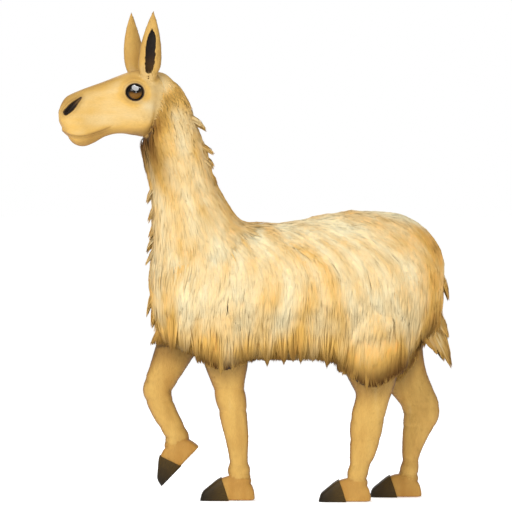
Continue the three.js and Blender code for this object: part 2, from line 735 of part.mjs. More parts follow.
const headSolid = largest(headForms(0).subtract(headCuts()));
const headGrown = headForms(GAP);
const ears = [-1, 1].map((side) => largest(earSolid(side).subtract(headGrown)));

const neckInset = (t) => (-COAT.neck / 2) * THREE.MathUtils.clamp((t - 0.18) / 0.14, 0, 1);
const neckBody = (grow) =>
  neck.body({ sides: 12, rows: 6, capRows: [2, 1], lift: (t) => neckInset(t) + grow });
const neckHair = neckLocks();
const neckSolid = largest(
  union([neckBody(0), ...neckHair.map((l) => lock(l))])
    .subtract(headGrown)
    .subtract(trunkCoreGrown),
);
const neckGrown = union([neckBody(GAP), ...neckHair.map((l) => lock(l, LOCK_GAP))]);

const tailInset = -COAT.tail / 2;
const tailHair = tailLocks();
const tailBody = (grow) => tail.body({ sides: 8, rows: 4, capRows: [1, 1], lift: tailInset + grow });
const tailSolid = largest(
  union([tailBody(0), ...tailHair.map((l) => lock(l))]).subtract(trunkCoreGrown),
);
const tailGrown = union([tailBody(GAP), ...tailHair.map((l) => lock(l, LOCK_GAP))]);

const trunkHair = union(trunkLocks().map((l) => lock(l)));
const trunkSolid = largest(
  trunkCore.add(
    trunkHair.subtract(neckGrown).subtract(tailGrown).subtract(union(legs.map((l) => l.grown))),
  ),
);

function meshOf(name, s, look) {
  const { vertProperties, triVerts, numProp } = s.getMesh();
  const geometry = new THREE.BufferGeometry();
  const points = new Float32Array((vertProperties.length / numProp) * 3);
  for (let i = 0; i < points.length / 3; i++) {
    points.set(vertProperties.subarray(i * numProp, i * numProp + 3), i * 3);
  }
  geometry.setAttribute("position", new THREE.BufferAttribute(points, 3));
  geometry.setIndex(new THREE.BufferAttribute(triVerts, 1));
  geometry.computeVertexNormals();
  const mesh = new THREE.Mesh(geometry, new THREE.MeshStandardMaterial({ metalness: 0, ...look }));
  mesh.name = name;
  return mesh;
}

const llama = new THREE.Group();
const nodes = [
  ["torso", trunkSolid, COLOURS.coat],
  ["neck", neckSolid, COLOURS.coat],
  ["tail", tailSolid, COLOURS.coat],
  ["head", headSolid, COLOURS.face],
  ["ear_left", ears[0], COLOURS.face],
  ["ear_right", ears[1], COLOURS.face],
  ["eye_left", eyeSolid(-1), COLOURS.eye],
  ["eye_right", eyeSolid(1), COLOURS.eye],
  ...legs.flatMap((l) => l.nodes),
];
for (const [name, s, look] of nodes) llama.add(meshOf(name, s, look));

// The origin is on the floor, under the middle of the animal's length and width.
const bounds = new THREE.Box3().setFromObject(llama);
const centre = bounds.getCenter(vec(0, 0, 0));
llama.position.set(-centre.x, -centre.y, 0);

export default llama;
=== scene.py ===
"""A life-size llama, walking, with its right forefoot lifted: one skin under a long coat that is laid tuft
by tuft, with short fur on the head and legs, eyes, nails and a plain studio. The head points to -X and the
animal's left side is -Y. The forms are worked out in millimetres, as the solids are, and set in metres."""

import bpy
import numpy as np
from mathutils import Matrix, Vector


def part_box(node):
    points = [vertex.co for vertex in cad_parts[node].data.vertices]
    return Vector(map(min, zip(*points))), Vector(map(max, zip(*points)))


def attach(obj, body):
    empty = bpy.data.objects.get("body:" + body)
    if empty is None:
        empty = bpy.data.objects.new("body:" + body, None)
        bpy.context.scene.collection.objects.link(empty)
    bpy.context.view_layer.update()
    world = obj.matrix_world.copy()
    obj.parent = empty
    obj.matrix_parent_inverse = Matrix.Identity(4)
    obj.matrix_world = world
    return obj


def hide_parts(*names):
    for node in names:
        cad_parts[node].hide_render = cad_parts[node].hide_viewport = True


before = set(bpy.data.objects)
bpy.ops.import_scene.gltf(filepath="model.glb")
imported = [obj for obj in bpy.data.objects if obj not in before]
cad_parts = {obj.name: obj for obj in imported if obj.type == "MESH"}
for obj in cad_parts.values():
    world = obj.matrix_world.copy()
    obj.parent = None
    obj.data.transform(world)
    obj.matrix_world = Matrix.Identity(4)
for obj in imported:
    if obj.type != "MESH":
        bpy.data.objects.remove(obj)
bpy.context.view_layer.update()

bl_info = {
    "name": "Walking Llama",
    "version": (1, 0, 0),
    "blender": (4, 5, 0),
    "location": "View3D > Sidebar > Llama",
    "description": "A life-size walking llama: skin, long and short coat, eyes, nails and a studio",
    "category": "Add Mesh",
}

# ---------------------------------------------------------------- shares, curves and turns


def bell(x, middle, width):
    """exp(-((x - middle) / width)^2)."""
    return np.exp(-(((x - middle) / width) ** 2))


def smooth(x, low, high):
    """0 up to low, 1 from high, and 3s^2 - 2s^3 between them."""
    s = np.clip((x - low) / (high - low), 0, 1)
    return s * s * (3 - 2 * s)


def mix(a, b, share):
    return a + (b - a) * share


def unit(v):
    """Each row of v at length 1."""
    return v / np.maximum(np.linalg.norm(v, axis=-1, keepdims=True), 1e-12)


def curve(rows, share):
    """A curve through evenly spaced rows: a cubic in each span that leaves both its rows along the chord of
    their neighbours, with the end rows mirrored outwards."""
    rows = np.asarray(rows, float)
    if rows.ndim == 1:
        return curve(rows[:, None], share)[..., 0]
    ends = np.vstack([2 * rows[0] - rows[1], rows, 2 * rows[-1] - rows[-2]])
    place = np.clip(share, 0, 1) * (len(rows) - 1)
    span = np.minimum(place.astype(int), len(rows) - 2)
    w = (place - span)[..., None]
    before, start, stop, after = (ends[span + k] for k in range(4))
    leave, reach = (stop - before) / 2, (after - start) / 2
    bend = 2 * start - 2 * stop + leave + reach
    return ((bend * w - 3 * start + 3 * stop - 2 * leave - reach) * w + leave) * w + start


def noise(points, seed):
    """Smooth noise from -1 to 1: every whole-numbered corner has a fixed random value, and inside a cell the
    eight corners are mixed by 3s^2 - 2s^3."""
    p = np.asarray(points, float) + 4096
    base = np.floor(p).astype(np.int64)
    s = p - base
    s = s * s * (3 - 2 * s)
    total = np.zeros(len(p))
    for corner in range(8):
        step = np.array([corner & 1, corner >> 1 & 1, corner >> 2 & 1])
        i, j, k = (base + step).T
        mixed = (i * 73856093 ^ j * 19349663 ^ k * 83492791 ^ (seed + 1) * 2654435761) & 0xFFFFFFFF
        mixed = ((mixed ^ mixed >> 13) * 1274126177) & 0xFFFFFFFF
        value = ((mixed ^ mixed >> 16) & 0xFFFF) / 32767.5 - 1
        total += value * np.where(step, s, 1 - s).prod(1)
    return total


def turned(points, axis, degrees):
    """Points turned about the x, y or z axis through the origin."""
    c, s = np.cos(np.radians(degrees)), np.sin(np.radians(degrees))
    a, b = {"x": (1, 2), "y": (2, 0), "z": (0, 1)}[axis]
    out = np.array(points, float)
    out[..., a] = c * points[..., a] - s * points[..., b]
    out[..., b] = s * points[..., a] + c * points[..., b]
    return out


class Sweep:
    """A body swept along a line in the side plane. Each station is the ring's middle x, y, z and its reach
    over (spine, nape or a leg's rear), under and to the side. A ring is the super-ellipse
    |c|^power + |s|^power = 1, and a cap shrinks the rings of each end by (1 - (1 - s)^n)^(1/n)."""

    def __init__(self, stations, caps, power=2.0, cap_power=2.0):
        self.line = np.array(stations, float)[:, :3]
        self.reach = np.array(stations, float)[:, 3:]
        self.caps, self.power, self.cap_power = caps, power, cap_power

    def rounded(self, share):
        n = self.cap_power
        return (1 - (1 - np.clip(share, 0, 1)) ** n) ** (1 / n)

    def along(self, t):
        return unit(curve(self.line, t + 1e-4) - curve(self.line, t - 1e-4))

    def at(self, t, turn, lift=0.0):
        """The point at a share t of the length and a turn from the over side, lifted off the outline."""
        t, turn = np.broadcast_arrays(np.asarray(t, float), np.asarray(turn, float))
        along = self.along(t)
        over = unit(np.stack([-along[..., 2], 0 * t, along[..., 0]], -1))
        size = curve(self.reach, t)
        cap = self.rounded(t / self.caps[0]) * self.rounded((1 - t) / self.caps[1])
        c, s = np.cos(turn), np.sin(turn)
        squared = (np.abs(c) ** self.power + np.abs(s) ** self.power) ** (-1 / self.power) * cap
        rise = (np.where(c > 0, size[..., 0], size[..., 1]) + lift) * c * squared
        out = (size[..., 2] + lift) * s * squared
        end = lift * (np.maximum(0, 1 - (1 - t) / 0.12) - np.maximum(0, 1 - t / 0.12))
        point = curve(self.line, t) + over * rise[..., None] + along * end[..., None]
        point[..., 1] += out
        return point

    def shares(self, rows, first=0.0, last=1.0):
        """Shares of the length, closest together in the caps."""
        s = np.linspace(0, 1, rows)
        return mix(first, last, mix(s, (1 - np.cos(s * np.pi)) / 2, 0.6))


# ---------------------------------------------------------------- the forms, in millimetres

# where the trunk begins and ends, and how high the coat's hem is, over the thighs, the elbow and the lifted
# leg, and beside the tail
TRUNK_FRONT, TRUNK_BACK = -398.0, 706.0
HEM, THIGH_HEM, ELBOW_HEM, LIFTED_HEM, RUMP_HEM = 514.0, 424.0, 486.0, 556.0, 606.0
# the poll, which the head is turned about, and the head's turn and length
POLL = np.array([-345.0, 0.0, 0.0])
HEAD_YAW, HEAD_LENGTH = 16.0, 396.0
# the eyes' distances before the poll, from the middle and over the soles, and their size
EYE_U, EYE_SIDE, EYE_Z, EYE_RADIUS = 124.0, 50.0, 1510.0, 36.0
# an ear's length, half width and wall, and its opening's middle and reach as shares of it, and half width
EAR_LENGTH, EAR_WIDTH, EAR_WALL = 257.0, 42.0, 6.5
OPENING, OPENING_REACH, OPENING_WIDTH = 0.42, 0.3, 16.0
# under and behind these the head's coat is the throat's; a leg's coat deepens down from its top, and over
# the crease's height the skin is evened where leg and trunk meet
JAW_Z, CHIN_X, LEG_TOP, CREASE_Z = 1345.0, -440.0, 700.0, 520.0
# the ankle's height, a toe's distance from the foot's middle, and the hind feet's size
ANKLE, TOE_SIDE, HIND_SHARE = 75.0, 24.0, 0.95
BODY_NET, LIMB_NET, HEAD_NET = 12, (9, 5.9), (6, 3.5)
# how many tufts are laid beside the trunk's own, and the starts of the random numbers
TUFTS = {"under": 9000, "hem": 7600, "neck": 10500, "tail": 2600, "legs": 8000, "head": 8000}
LONG_SEED, SHORT_SEED = 11, 23
BAKE_PATCH = 0.003  # the width of a tuft's patch on the OFBake map
MOST_WALKS = 30  # how often at most a search over the skin steps on
# of the trunk and the head, at nine places: the outline's top, middle and bottom, and half the width
trunk_top, trunk_middle, trunk_bottom, trunk_side = np.array([
    [962, 1006, 1024, 1022, 1034, 1062, 1074, 1050, 1010],
    [775, 780, 785, 790, 795, 800, 800, 790, 780],
    [645, 592, 562, 548, 546, 546, 546, 560, 610],
    [138, 176, 202, 218, 230, 236, 230, 206, 165],
])
head_top, head_middle, head_bottom, head_side = np.array([
    [1562, 1592, 1592, 1575, 1556, 1539, 1521, 1500, 1468],
    [1480, 1488, 1486, 1476, 1462, 1446, 1432, 1420, 1412],
    [1398, 1356, 1344, 1347, 1351, 1341, 1317, 1312, 1364],
    [54, 72, 76, 70, 57, 49, 47, 48, 40],
])


def level(x, middle, over, under, side):
    """The stations of a body that lies along x."""
    return np.stack([x, 0 * x, middle, over, under, side], -1)


TRUNK = Sweep(
    level(
        np.linspace(TRUNK_FRONT, TRUNK_BACK, 9), trunk_middle, trunk_top - trunk_middle,
        trunk_middle - trunk_bottom, trunk_side,
    ),
    (0.13, 0.2), 2.2, 2.3,
)
HEAD = Sweep(
    level(
        POLL[0] - np.linspace(0, HEAD_LENGTH, 9), head_middle, head_middle - head_bottom,
        head_top - head_middle, head_side,
    ),
    (0.16, 0.11), 2.15, 2.2,
)
NECK = Sweep(
    [
        [-368, 0, 1602, 52, 18, 32],
        [-374, 0, 1528, 94, 74, 54],
        [-356, 0, 1430, 128, 98, 78],
        [-330, 0, 1350, 122, 112, 90],
        [-294, 0, 1259, 120, 119, 96],
        [-270, 0, 1156, 122, 124, 102],
        [-246, 0, 1055, 152, 148, 120],
        [-214, 0, 944, 190, 182, 148],
        [-180, 0, 824, 200, 190, 160],
    ],
    (0.08, 0.1),
)
TAIL = Sweep(
    [
        [628, 0, 872, 34, 34, 34],
        [656, 0, 800, 38, 46, 46],
        [652, 0, 700, 38, 52, 54],
        [656, 0, 625, 40, 48, 50],
        [674, 0, 565, 24, 24, 30],
        [700, 0, 512, 10, 12, 12],
    ],
    (0.1, 0.05),
)
LEG_STATIONS = {
    "fore_left": [
        [-135, -118, 720, 90, 95, 60],
        [-122, -112, 620, 92, 95, 62],
        [-112, -100, 510, 88, 80, 56],
        [-104, -88, 425, 67, 56, 48],
        [-92, -78, 365, 62, 53, 46],
        [-85, -72, 300, 58, 48, 39],
        [-74, -66, 225, 52, 40, 35],
        [-67, -62, 155, 42, 34, 33],
        [-64, -60, 112, 46, 40, 38],
        [-60, -60, 78, 38, 38, 37],
    ],
    "fore_right": [
        [-215, 112, 740, 90, 90, 60],
        [-262, 112, 650, 86, 86, 62],
        [-302, 108, 565, 84, 72, 56],
        [-340, 104, 478, 70, 60, 48],
        [-368, 100, 402, 58, 53, 45],
        [-345, 98, 325, 51, 48, 39],
        [-312, 96, 262, 48, 42, 36],
        [-297, 95, 214, 52, 32, 38],
        [-306, 95, 184, 44, 30, 37],
    ],
    "hind_left": [
        [450, -118, 740, 120, 125, 78],
        [440, -122, 620, 118, 122, 80],
        [425, -124, 520, 110, 108, 70],
        [428, -124, 440, 92, 82, 58],
        [424, -124, 385, 73, 58, 49],
        [408, -124, 315, 71, 58, 45],
        [400, -124, 255, 68, 54, 42],
        [390, -124, 188, 58, 46, 38],
        [376, -124, 128, 44, 34, 34],
        [372, -124, 98, 44, 36, 38],
        [371, -124, 74, 36, 34, 37],
    ],
    "hind_right": [
        [500, 118, 740, 120, 125, 78],
        [512, 122, 620, 116, 118, 80],
        [535, 124, 520, 98, 104, 68],
        [566, 124, 440, 82, 84, 58],
        [596, 124, 378, 76, 68, 50],
        [618, 124, 318, 74, 66, 46],
        [602, 124, 248, 54, 56, 40],
        [586, 124, 178, 38, 42, 35],
        [581, 124, 128, 31, 36, 32],
        [576, 124, 98, 35, 38, 37],
        [571, 124, 74, 32, 34, 36],
    ],
}
LEGS = {name: Sweep(stations, (0.05, 0.03), 2.1) for name, stations in LEG_STATIONS.items()}
FEET = {  # where the sole's ankle stands, how far the toes point down, and the foot's size
    "fore_left": ((-60, -60, 0), 0, 1),
    "fore_right": ((-304, 95, 124), 46, 1),
    "hind_left": ((371, -124, 0), 0, HIND_SHARE),
    "hind_right": ((566, 124, 0), 0, HIND_SHARE),
}
# how high each knee or hock is, and how strong its folds are
KNEES = {"fore_left": (372, 1), "fore_right": (400, 1), "hind_left": (268, 0.7), "hind_right": (300, 0.7)}
TOE = Sweep(
    [
        [-144, 0, 0, 24, 30, 12],
        [-106, 0, 0, 56, 30, 20],
        [-74, 0, 0, 80, 30, 22],
        [-38, 0, 0, 92, 30, 23],
        [0, 0, 0, 84, 30, 24],
        [32, 0, 0, 70, 30, 25],
        [60, 0, 0, 48, 30, 21],
    ],
    (0.06, 0.09),
    2.4,
)
NAIL_BACK, NAIL_LEAN = -53.0, 18.0  # where a nail ends at 38 mm over the sole, and how far that edge leans
EARS = {"ear_left": -1, "ear_right": 1}  # each with its side
TOES = {f"foot_{name}": name for name in LEGS}  # each foot's part, with its leg
PARTS = ["trunk", "neck", "tail", "head", *EARS, *LEGS, *TOES]  # the skin's parts go by their numbers here

# The tips of locks that stand out in the side plane: x, z, whether they point back or forwards, and size.
LOCK_TIPS = [
    (-180, 1364, 1, 0.6), (-151, 1282, 1, 0.7), (-151, 1234, 1, 0.65), (-140, 1171, 1, 0.75),
    (-129, 1130, 1, 0.7), (-406, 1100, -1, 0.7), (-401, 1030, -1, 0.75), (-399, 970, -1, 0.7),
    (-408, 915, -1, 0.75), (-411, 868, -1, 0.75), (-406, 673, -1, 1.1), (-388, 634, -1, 0.9),
    (719, 735, 1, 1.1), (720, 599, 1, 1.1), (718, 541, 1, 1.1), (731, 489, 1, 1.7), (722, 505, 1, 1.5),
    (704, 520, 1, 1.4), (686, 540, 1, 1.3),
]
# The tips of the hem: x, and how far each hangs below it.
HEM_TIPS = [
    (-312, 6), (-262, 0), (-214, 10), (-170, 4), (-128, 22), (-84, 6), (-30, 0), (42, 20), (104, 14),
    (138, 4), (166, 12), (212, 0), (262, 20), (318, 0), (356, 8), (408, 12), (452, 4), (498, 8), (552, 0),
]


def is_of(part, *names):
    """Where part numbers are of the named parts."""
    return np.isin(part, [PARTS.index(name) for name in names])


def hem_at(points):
    """How far down the long coat hangs at each point: a level hem that dips over the left elbow and the
    thighs and rises over the lifted leg and beside the tail."""
    x, left = points[:, 0], points[:, 1] < 0
    elbow = np.where(left, bell(x, -118, 62) * (HEM - ELBOW_HEM), 0)
    lifted = bell(x, -330, 90) * (LIFTED_HEM - HEM + np.where(left, 0, 8))
    thigh = bell(x, np.where(left, 430, 490), np.where(left, 112, 90)) * (HEM - THIGH_HEM)
    return HEM - elbow + lifted - thigh + smooth(x, 560, 650) * (RUMP_HEM - HEM)


def on_skull(points):
    """From the head's own straight pose to its turned place."""
    return turned(points - POLL, "z", HEAD_YAW) + POLL


def off_skull(points):
    return turned(points - POLL, "z", -HEAD_YAW) + POLL


def on_foot(points, name):
    """From a foot on a level sole, ankle over the origin, to its place on the animal."""
    place, pitch, share = FEET[name]
    up = np.array([0, 0, ANKLE])
    return (turned(points - up, "y", -pitch) + up) * share + np.array(place)


SWELLINGS = [  # u, degrees from the throat, how long, how far round, height
    (122, 112, 46, 30, 9),  # brow
    (84, 58, 52, 30, 9),  # cheek
    (176, 84, 46, 16, 4),  # cheekbone
    (226, 104, 46, 34, -6),  # hollow before the eye
    (340, 66, 44, 28, 9),  # upper lip
    (350, 122, 30, 20, 5),  # wing of the nostril
    (326, 0, 34, 44, 4),  # chin
    (300, 30, 60, 12, -4),  # under the corner of the mouth
]


def head_lift(t, turn):
    """The sum of the head's swellings, each height * bell(along) * bell(round)."""
    degrees = np.degrees(np.abs(np.where(turn > np.pi, turn - 2 * np.pi, turn)))
    along = t * HEAD_LENGTH
    return sum(h * bell(along, u, long) * bell(degrees, d, wide) for u, d, long, wide, h in SWELLINGS)


def on_cheek(u, z, side):
    """Points on the head's side at lengths u and heights z: the turn is found by halving."""
    t = np.asarray(u, float) / HEAD_LENGTH
    low, high = np.zeros_like(t), np.full_like(t, np.pi)
    for _ in range(24):
        middle = (low + high) / 2
        under = HEAD.at(t, middle)[..., 2] < z
        low, high = np.where(under, middle, low), np.where(under, high, middle)
    return HEAD.at(t, low * side, head_lift(t, low))


def lined(rows):
    """Many points along a curve through rows."""
    return curve(rows, np.linspace(0, 1, 80))


def nostril_line(side):
    """A nostril's slit, from its upper rear end to its round lower front end."""
    share = np.linspace(0, 1, 6)
    return lined(on_cheek(mix(306, 375, share), mix(1489, 1436, share), side))


def nostril_width(share):
    """Half the slit's width: it widens from 4 to 14 mm and closes in a round end."""
    return curve([4.0, 8.0, 12.0, 14.0, 12.0], share)


def mouth_line(side):
    """The line of the mouth on one side, from its corner to the front of the lips."""
    u, z = np.array([[222, 1384], [246, 1371], [284, 1358], [326, 1350], [364, 1351]], float).T
    return lined(np.vstack([on_cheek(u, z, side), [POLL[0] - HEAD_LENGTH + 9, 0, 1362]]))


def beside(points, line, out):
    """How far points are from a line as seen along a direction, and the share along the line."""
    out = unit(np.array(out, float))
    return distance(points - (points @ out)[:, None] * out, line - (line @ out)[:, None] * out)


CLEFT_LINE = lined(np.array([[-737, 0, 1440], [-742, 0, 1420], [-744, 0, 1400], [-740, 0, 1368]], float))


def distance(points, line):
    """How far each point is from the nearest point of a finely divided line, and that point's share."""
    apart = (points**2).sum(1)[:, None] - 2 * points @ line.T + (line**2).sum(1)[None]
    near = apart.argmin(1)
    return np.sqrt(np.maximum(apart[np.arange(len(points)), near], 0)), near / (len(line) - 1)


# ---------------------------------------------------------------- closed shells and meshes


def shell(points):
    """A closed net from a grid of points (rows, round, 3): quads round each row, a fan at each end."""
    rows, sides = points.shape[:2]
    ends = points[[0, -1]].mean(1)
    i, j = np.meshgrid(np.arange(rows - 1), np.arange(sides), indexing="ij")
    here, there = i * sides + j, i * sides + (j + 1) % sides
    quads = np.stack([here, there, there + sides, here + sides], -1).reshape(-1, 4)
    ring = np.arange(sides)
    first, last = rows * sides, rows * sides + 1
    low = np.stack([ring, np.full(sides, first), (ring + 1) % sides], -1)
    top = (rows - 1) * sides + ring
    high = np.stack([top, (rows - 1) * sides + (ring + 1) % sides, np.full(sides, last)], -1)
    faces = [quads[:, [0, 1, 2]], quads[:, [0, 2, 3]], low, high]
    return np.vstack([points.reshape(-1, 3), ends]), np.vstack(faces)


def joined(shells):
    """Several nets as one, their indices counted on."""
    counts = np.cumsum([0] + [len(p) for p, _ in shells[:-1]])
    return np.vstack([p for p, _ in shells]), np.vstack([f + n for (_, f), n in zip(shells, counts)])


def capped(values):
    """Values on a net's grid, and the values at its two end caps: the first and the last."""
    flat = values.ravel()
    return np.append(flat, flat[[0, -1]])


def outward(points, faces):
    """The faces, turned over if the net's volume, the sum of p0 . (p1 x p2) / 6, is negative."""
    a, b, c = (points[faces[:, k]] for k in range(3))
    return faces if (a * np.cross(b, c)).sum() > 0 else faces[:, ::-1]


def mesh_from(name, points, faces):
    """A mesh from arrays: points in metres and faces of equal size."""
    mesh = bpy.data.meshes.new(name)
    mesh.vertices.add(len(points))
    mesh.vertices.foreach_set("co", np.asarray(points, np.float32).ravel())
    mesh.loops.add(faces.size)
    mesh.loops.foreach_set("vertex_index", np.asarray(faces, np.int32).ravel())
    mesh.polygons.add(len(faces))
    mesh.polygons.foreach_set("loop_start", np.arange(len(faces), dtype=np.int32) * faces.shape[1])
    mesh.polygons.foreach_set("loop_total", np.full(len(faces), faces.shape[1], np.int32))
    mesh.polygons.foreach_set("use_smooth", np.full(len(faces), True))
    mesh.update(calc_edges=True)
    return mesh


def add_object(name, mesh):
    piece = bpy.data.objects.new(name, mesh)
    bpy.context.scene.collection.objects.link(piece)
    return piece


def set_tint(mesh, values):
    """The mesh's colours: four arrays, one for each of red, green, blue and alpha."""
    colour = np.stack([np.ravel(v) for v in values], -1).astype(np.float32)
    mesh.attributes.new("tint", "FLOAT_COLOR", "POINT").data.foreach_set("color", colour.ravel())


def arrays_of(mesh):
    """A mesh's points and its triangles."""
    points = np.empty(len(mesh.vertices) * 3, np.float32)
    mesh.vertices.foreach_get("co", points)
    mesh.calc_loop_triangles()
    faces = np.empty(len(mesh.loop_triangles) * 3, np.int32)
    mesh.loop_triangles.foreach_get("vertices", faces)
    return points.reshape(-1, 3).astype(float), faces.reshape(-1, 3)


def finished(piece, *others):
    """The arrays of an object after its modifiers; it and the others go."""
    shown = piece.evaluated_get(bpy.context.evaluated_depsgraph_get())
    made = arrays_of(shown.to_mesh())
    shown.to_mesh_clear()
    for own in (piece, *others):
        mesh = own.data
        bpy.data.objects.remove(own)
        bpy.data.meshes.remove(mesh)
    return made


def blended(shells, voxel):
    """Closed nets in millimetres melted into one even net, a voxel apart."""
    points, faces = joined([(p, outward(p, f)) for p, f in shells])
    piece = add_object("melt", mesh_from("melt", points / 1000, faces))
    melt = piece.modifiers.new("melt", "REMESH")
    melt.mode = "VOXEL"
    melt.voxel_size = voxel / 1000
    points, faces = finished(piece)
    return points * 1000, faces


def united(bodies):
    """The outer surface of several closed nets, by Boolean union."""
    pieces = [add_object(f"body_{i}", mesh_from(f"body_{i}", p / 1000, f)) for i, (p, f) in enumerate(bodies)]
    for other in pieces[1:]:
        join = pieces[0].modifiers.new("union", "BOOLEAN")
        join.operation = "UNION"
        join.solver = "MANIFOLD"
        join.object = other
    points, faces = finished(*pieces)
    return points * 1000, faces


def edges_of(faces):
    """Every edge once in each direction, as two rows of point numbers."""
    pairs = np.vstack([faces[:, [0, 1]], faces[:, [1, 2]], faces[:, [2, 0]]])
    both = np.vstack([pairs, pairs[:, ::-1]])
    return np.unique(both, axis=0).T


def relaxed(values, edges, weight, times):
    """Each row moved by weight towards the mean of its neighbours, some number of times."""
    start, stop = edges
    count = np.bincount(start, minlength=len(values))[:, None].clip(1)
    for _ in range(times):
        total = np.stack([np.bincount(start, v, len(values)) for v in values[stop].T], -1)
        values = values + weight * (total / count - values)
    return values


def normals_of(points, faces):
    """Unit normals of the points: the sum of their faces' area vectors."""
    a, b, c = (points[faces[:, k]] for k in range(3))
    area = np.cross(b - a, c - a)
    corners = faces.T.ravel()
    spread = np.tile(area, (3, 1))
    return unit(np.stack([np.bincount(corners, w, len(points)) for w in spread.T], -1))


# ---------------------------------------------------------------- skin


def coat_depth(turn):
    """How far the trunk's coat stands over its skin: 15 mm on the back, 27 on the flank and 29 under the
    belly, which is half the depth of the whole coat."""
    c = np.cos(turn)
    return np.where(c > 0, mix(54, 30, c * c), mix(54, 58, c * c)) / 2


def grid(rows, sides):
    """Shares down the rows and turns round them, as two columns that fit together."""
    return rows[:, None], np.linspace(0, 2 * np.pi, sides, endpoint=False)[None]


def part_nets():
    """Every part's net on the skin: {part: (points grid, t, turn, way along)}. The skin lies inside the
    outline by the coat's depth on trunk, neck and tail, by 2 mm on the head and by 3 mm on the legs."""
    nets = {}

    def keep(name, body, rows, sides, lift, place=lambda p: p):
        t, turn = np.broadcast_arrays(*grid(rows, sides))
        points = place(body.at(t, turn, lift(t, turn)))
        ahead, behind = (place(body.at(np.clip(t + step, 0, 1), turn)) for step in (0.01, -0.01))
        along = unit(ahead - behind)
        nets[name] = (points, t, turn, along)

    keep("trunk", TRUNK, TRUNK.shares(60), 64, lambda t, turn: -coat_depth(turn))
    keep("neck", NECK, NECK.shares(48, 0.02, 1), 48, lambda t, turn: -3 - 20 * smooth(t, 0.14, 0.34))
    keep("tail", TAIL, TAIL.shares(30), 24, lambda t, turn: -mix(15, 8, smooth(t, 0.8, 1)))
    keep("head", HEAD, HEAD.shares(64), 64, lambda t, turn: head_lift(t, turn) - 2, on_skull)
    for name, leg in LEGS.items():
        keep(name, leg, leg.shares(66, 0.02, 1), 40, lambda t, turn: -3)
    return nets


def toe_net(name, side):
    """A toe's net on the animal, 1.5 mm inside its outline, its lower half pressed flat on the sole."""
    t, turn = grid(TOE.shares(40), 40)
    points = TOE.at(t, turn, -1.5)
    points[..., 2] = np.maximum(points[..., 2], 2)
    return on_foot(points + np.array([0, side * TOE_SIDE, 0]), name)


def ankle_net(name):
    """The ball that joins the toes to the leg: middle + radii * (sin a cos b, sin a sin b, cos a)."""
    a, b = grid(np.linspace(0.02, np.pi - 0.02, 20), 24)
    ball = np.stack([np.sin(a) * np.cos(b), np.sin(a) * np.sin(b), np.cos(a) + 0 * b], -1)
    return on_foot(np.array([4, 0, ANKLE]) + ball * np.array([42, 42, 39]), name)


def ear_place(points, side):
    """From an ear's own frame, its foot at the origin and its tip up, to its place on the skull."""
    fore, lean = (66, 2) if side < 0 else (80, -5)
    points = turned(turned(turned(points, "z", 14 * side), "y", lean), "x", -9 * side)
    return on_skull(points + np.array([POLL[0] - fore, 44 * side, 1554]))


def ear_net(side):
    """An ear is a long cup whose rims curl over its opening. Each ring runs round the outside from rim to
    rim, at a turn a from the cup's back, and back on the inside, 6.5 mm further in."""
    s = np.linspace(0, 1, 70)[:, None]
    v = np.linspace(0, 1, 72, endpoint=False)[None]
    width = EAR_WIDTH * curve([0.66, 0.98, 0.98, 0.8, 0.48, 0.05], s)
    depth = width / 2
    bend = curve([0, 6, 9, 7, 1, -10], s)
    half = OPENING_WIDTH * (1 - np.clip(np.abs((s - OPENING) / OPENING_REACH), 0, 1) ** 3) ** 0.5
    slit = np.arcsin(np.clip(half / width, 0, 0.85)) - 0.03
    outside = v < 0.5
    share = np.where(outside, v * 2, 2 - v * 2)
    a = mix(-1, 1, share) * (np.pi - slit)
    wall = EAR_WALL * np.sqrt(np.clip(1 - (2 * share - 1) ** 8, 0.02, 1))
    inset = np.where(outside, 0, np.minimum(wall, 0.7 * depth))
    x = (width - inset) * np.sin(a)
    y = -(depth - inset) * np.cos(a) + 3 * (1 - np.cos(a)) * (1 - s)
    points = np.stack([x, side * (bend + y), s * EAR_LENGTH + 0 * v], -1)
    return ear_place(points, side)


def eye_detail(points):
    """Lids round the eyeballs. Over the side plane, r is 1 on an oval of 33 by 31 mm about the eye: inside
    it the skin drops under the eyeball, on it stands the lid's edge, and out to r = 1.9 it runs back into
    the cheek, with a crease at r = 1.36."""
    local = off_skull(points)
    u, y, z = POLL[0] - local[:, 0], local[:, 1], local[:, 2]
    du, dz = u - EYE_U, z - EYE_Z
    r = np.hypot(du / 33, dz / np.where(dz > 0, 30.5, 29.5))
    edge = np.hypot(du, dz) / np.maximum(r, 1e-6)
    ball = EYE_SIDE + np.sqrt(np.clip(EYE_RADIUS**2 - (du**2 + dz**2), 0, None))
    lid = EYE_SIDE + np.sqrt(np.clip(EYE_RADIUS**2 - edge**2, 40, None)) + 3.2
    own = np.abs(y)
    share = 1 - smooth(r, 1.02, 1.9)
    made = mix(own, lid + 2.0 * bell(r, 1.1, 0.1), share)
    made -= 3.0 * bell(r, 1.38, 0.07) * smooth(dz, -30, 25) + 1.6 * bell(r, 1.34, 0.07) * smooth(-dz, 0, 30)
    made = np.where(r < 1.0, mix(ball - 6, lid, smooth(r, 0.86, 1.0)), made)
    touched = (r < 1.95) & (np.abs(z - EYE_Z) < 70) & (own > 25)
    local[:, 1] = np.where(touched, np.sign(y) * made, y)
    return on_skull(local)


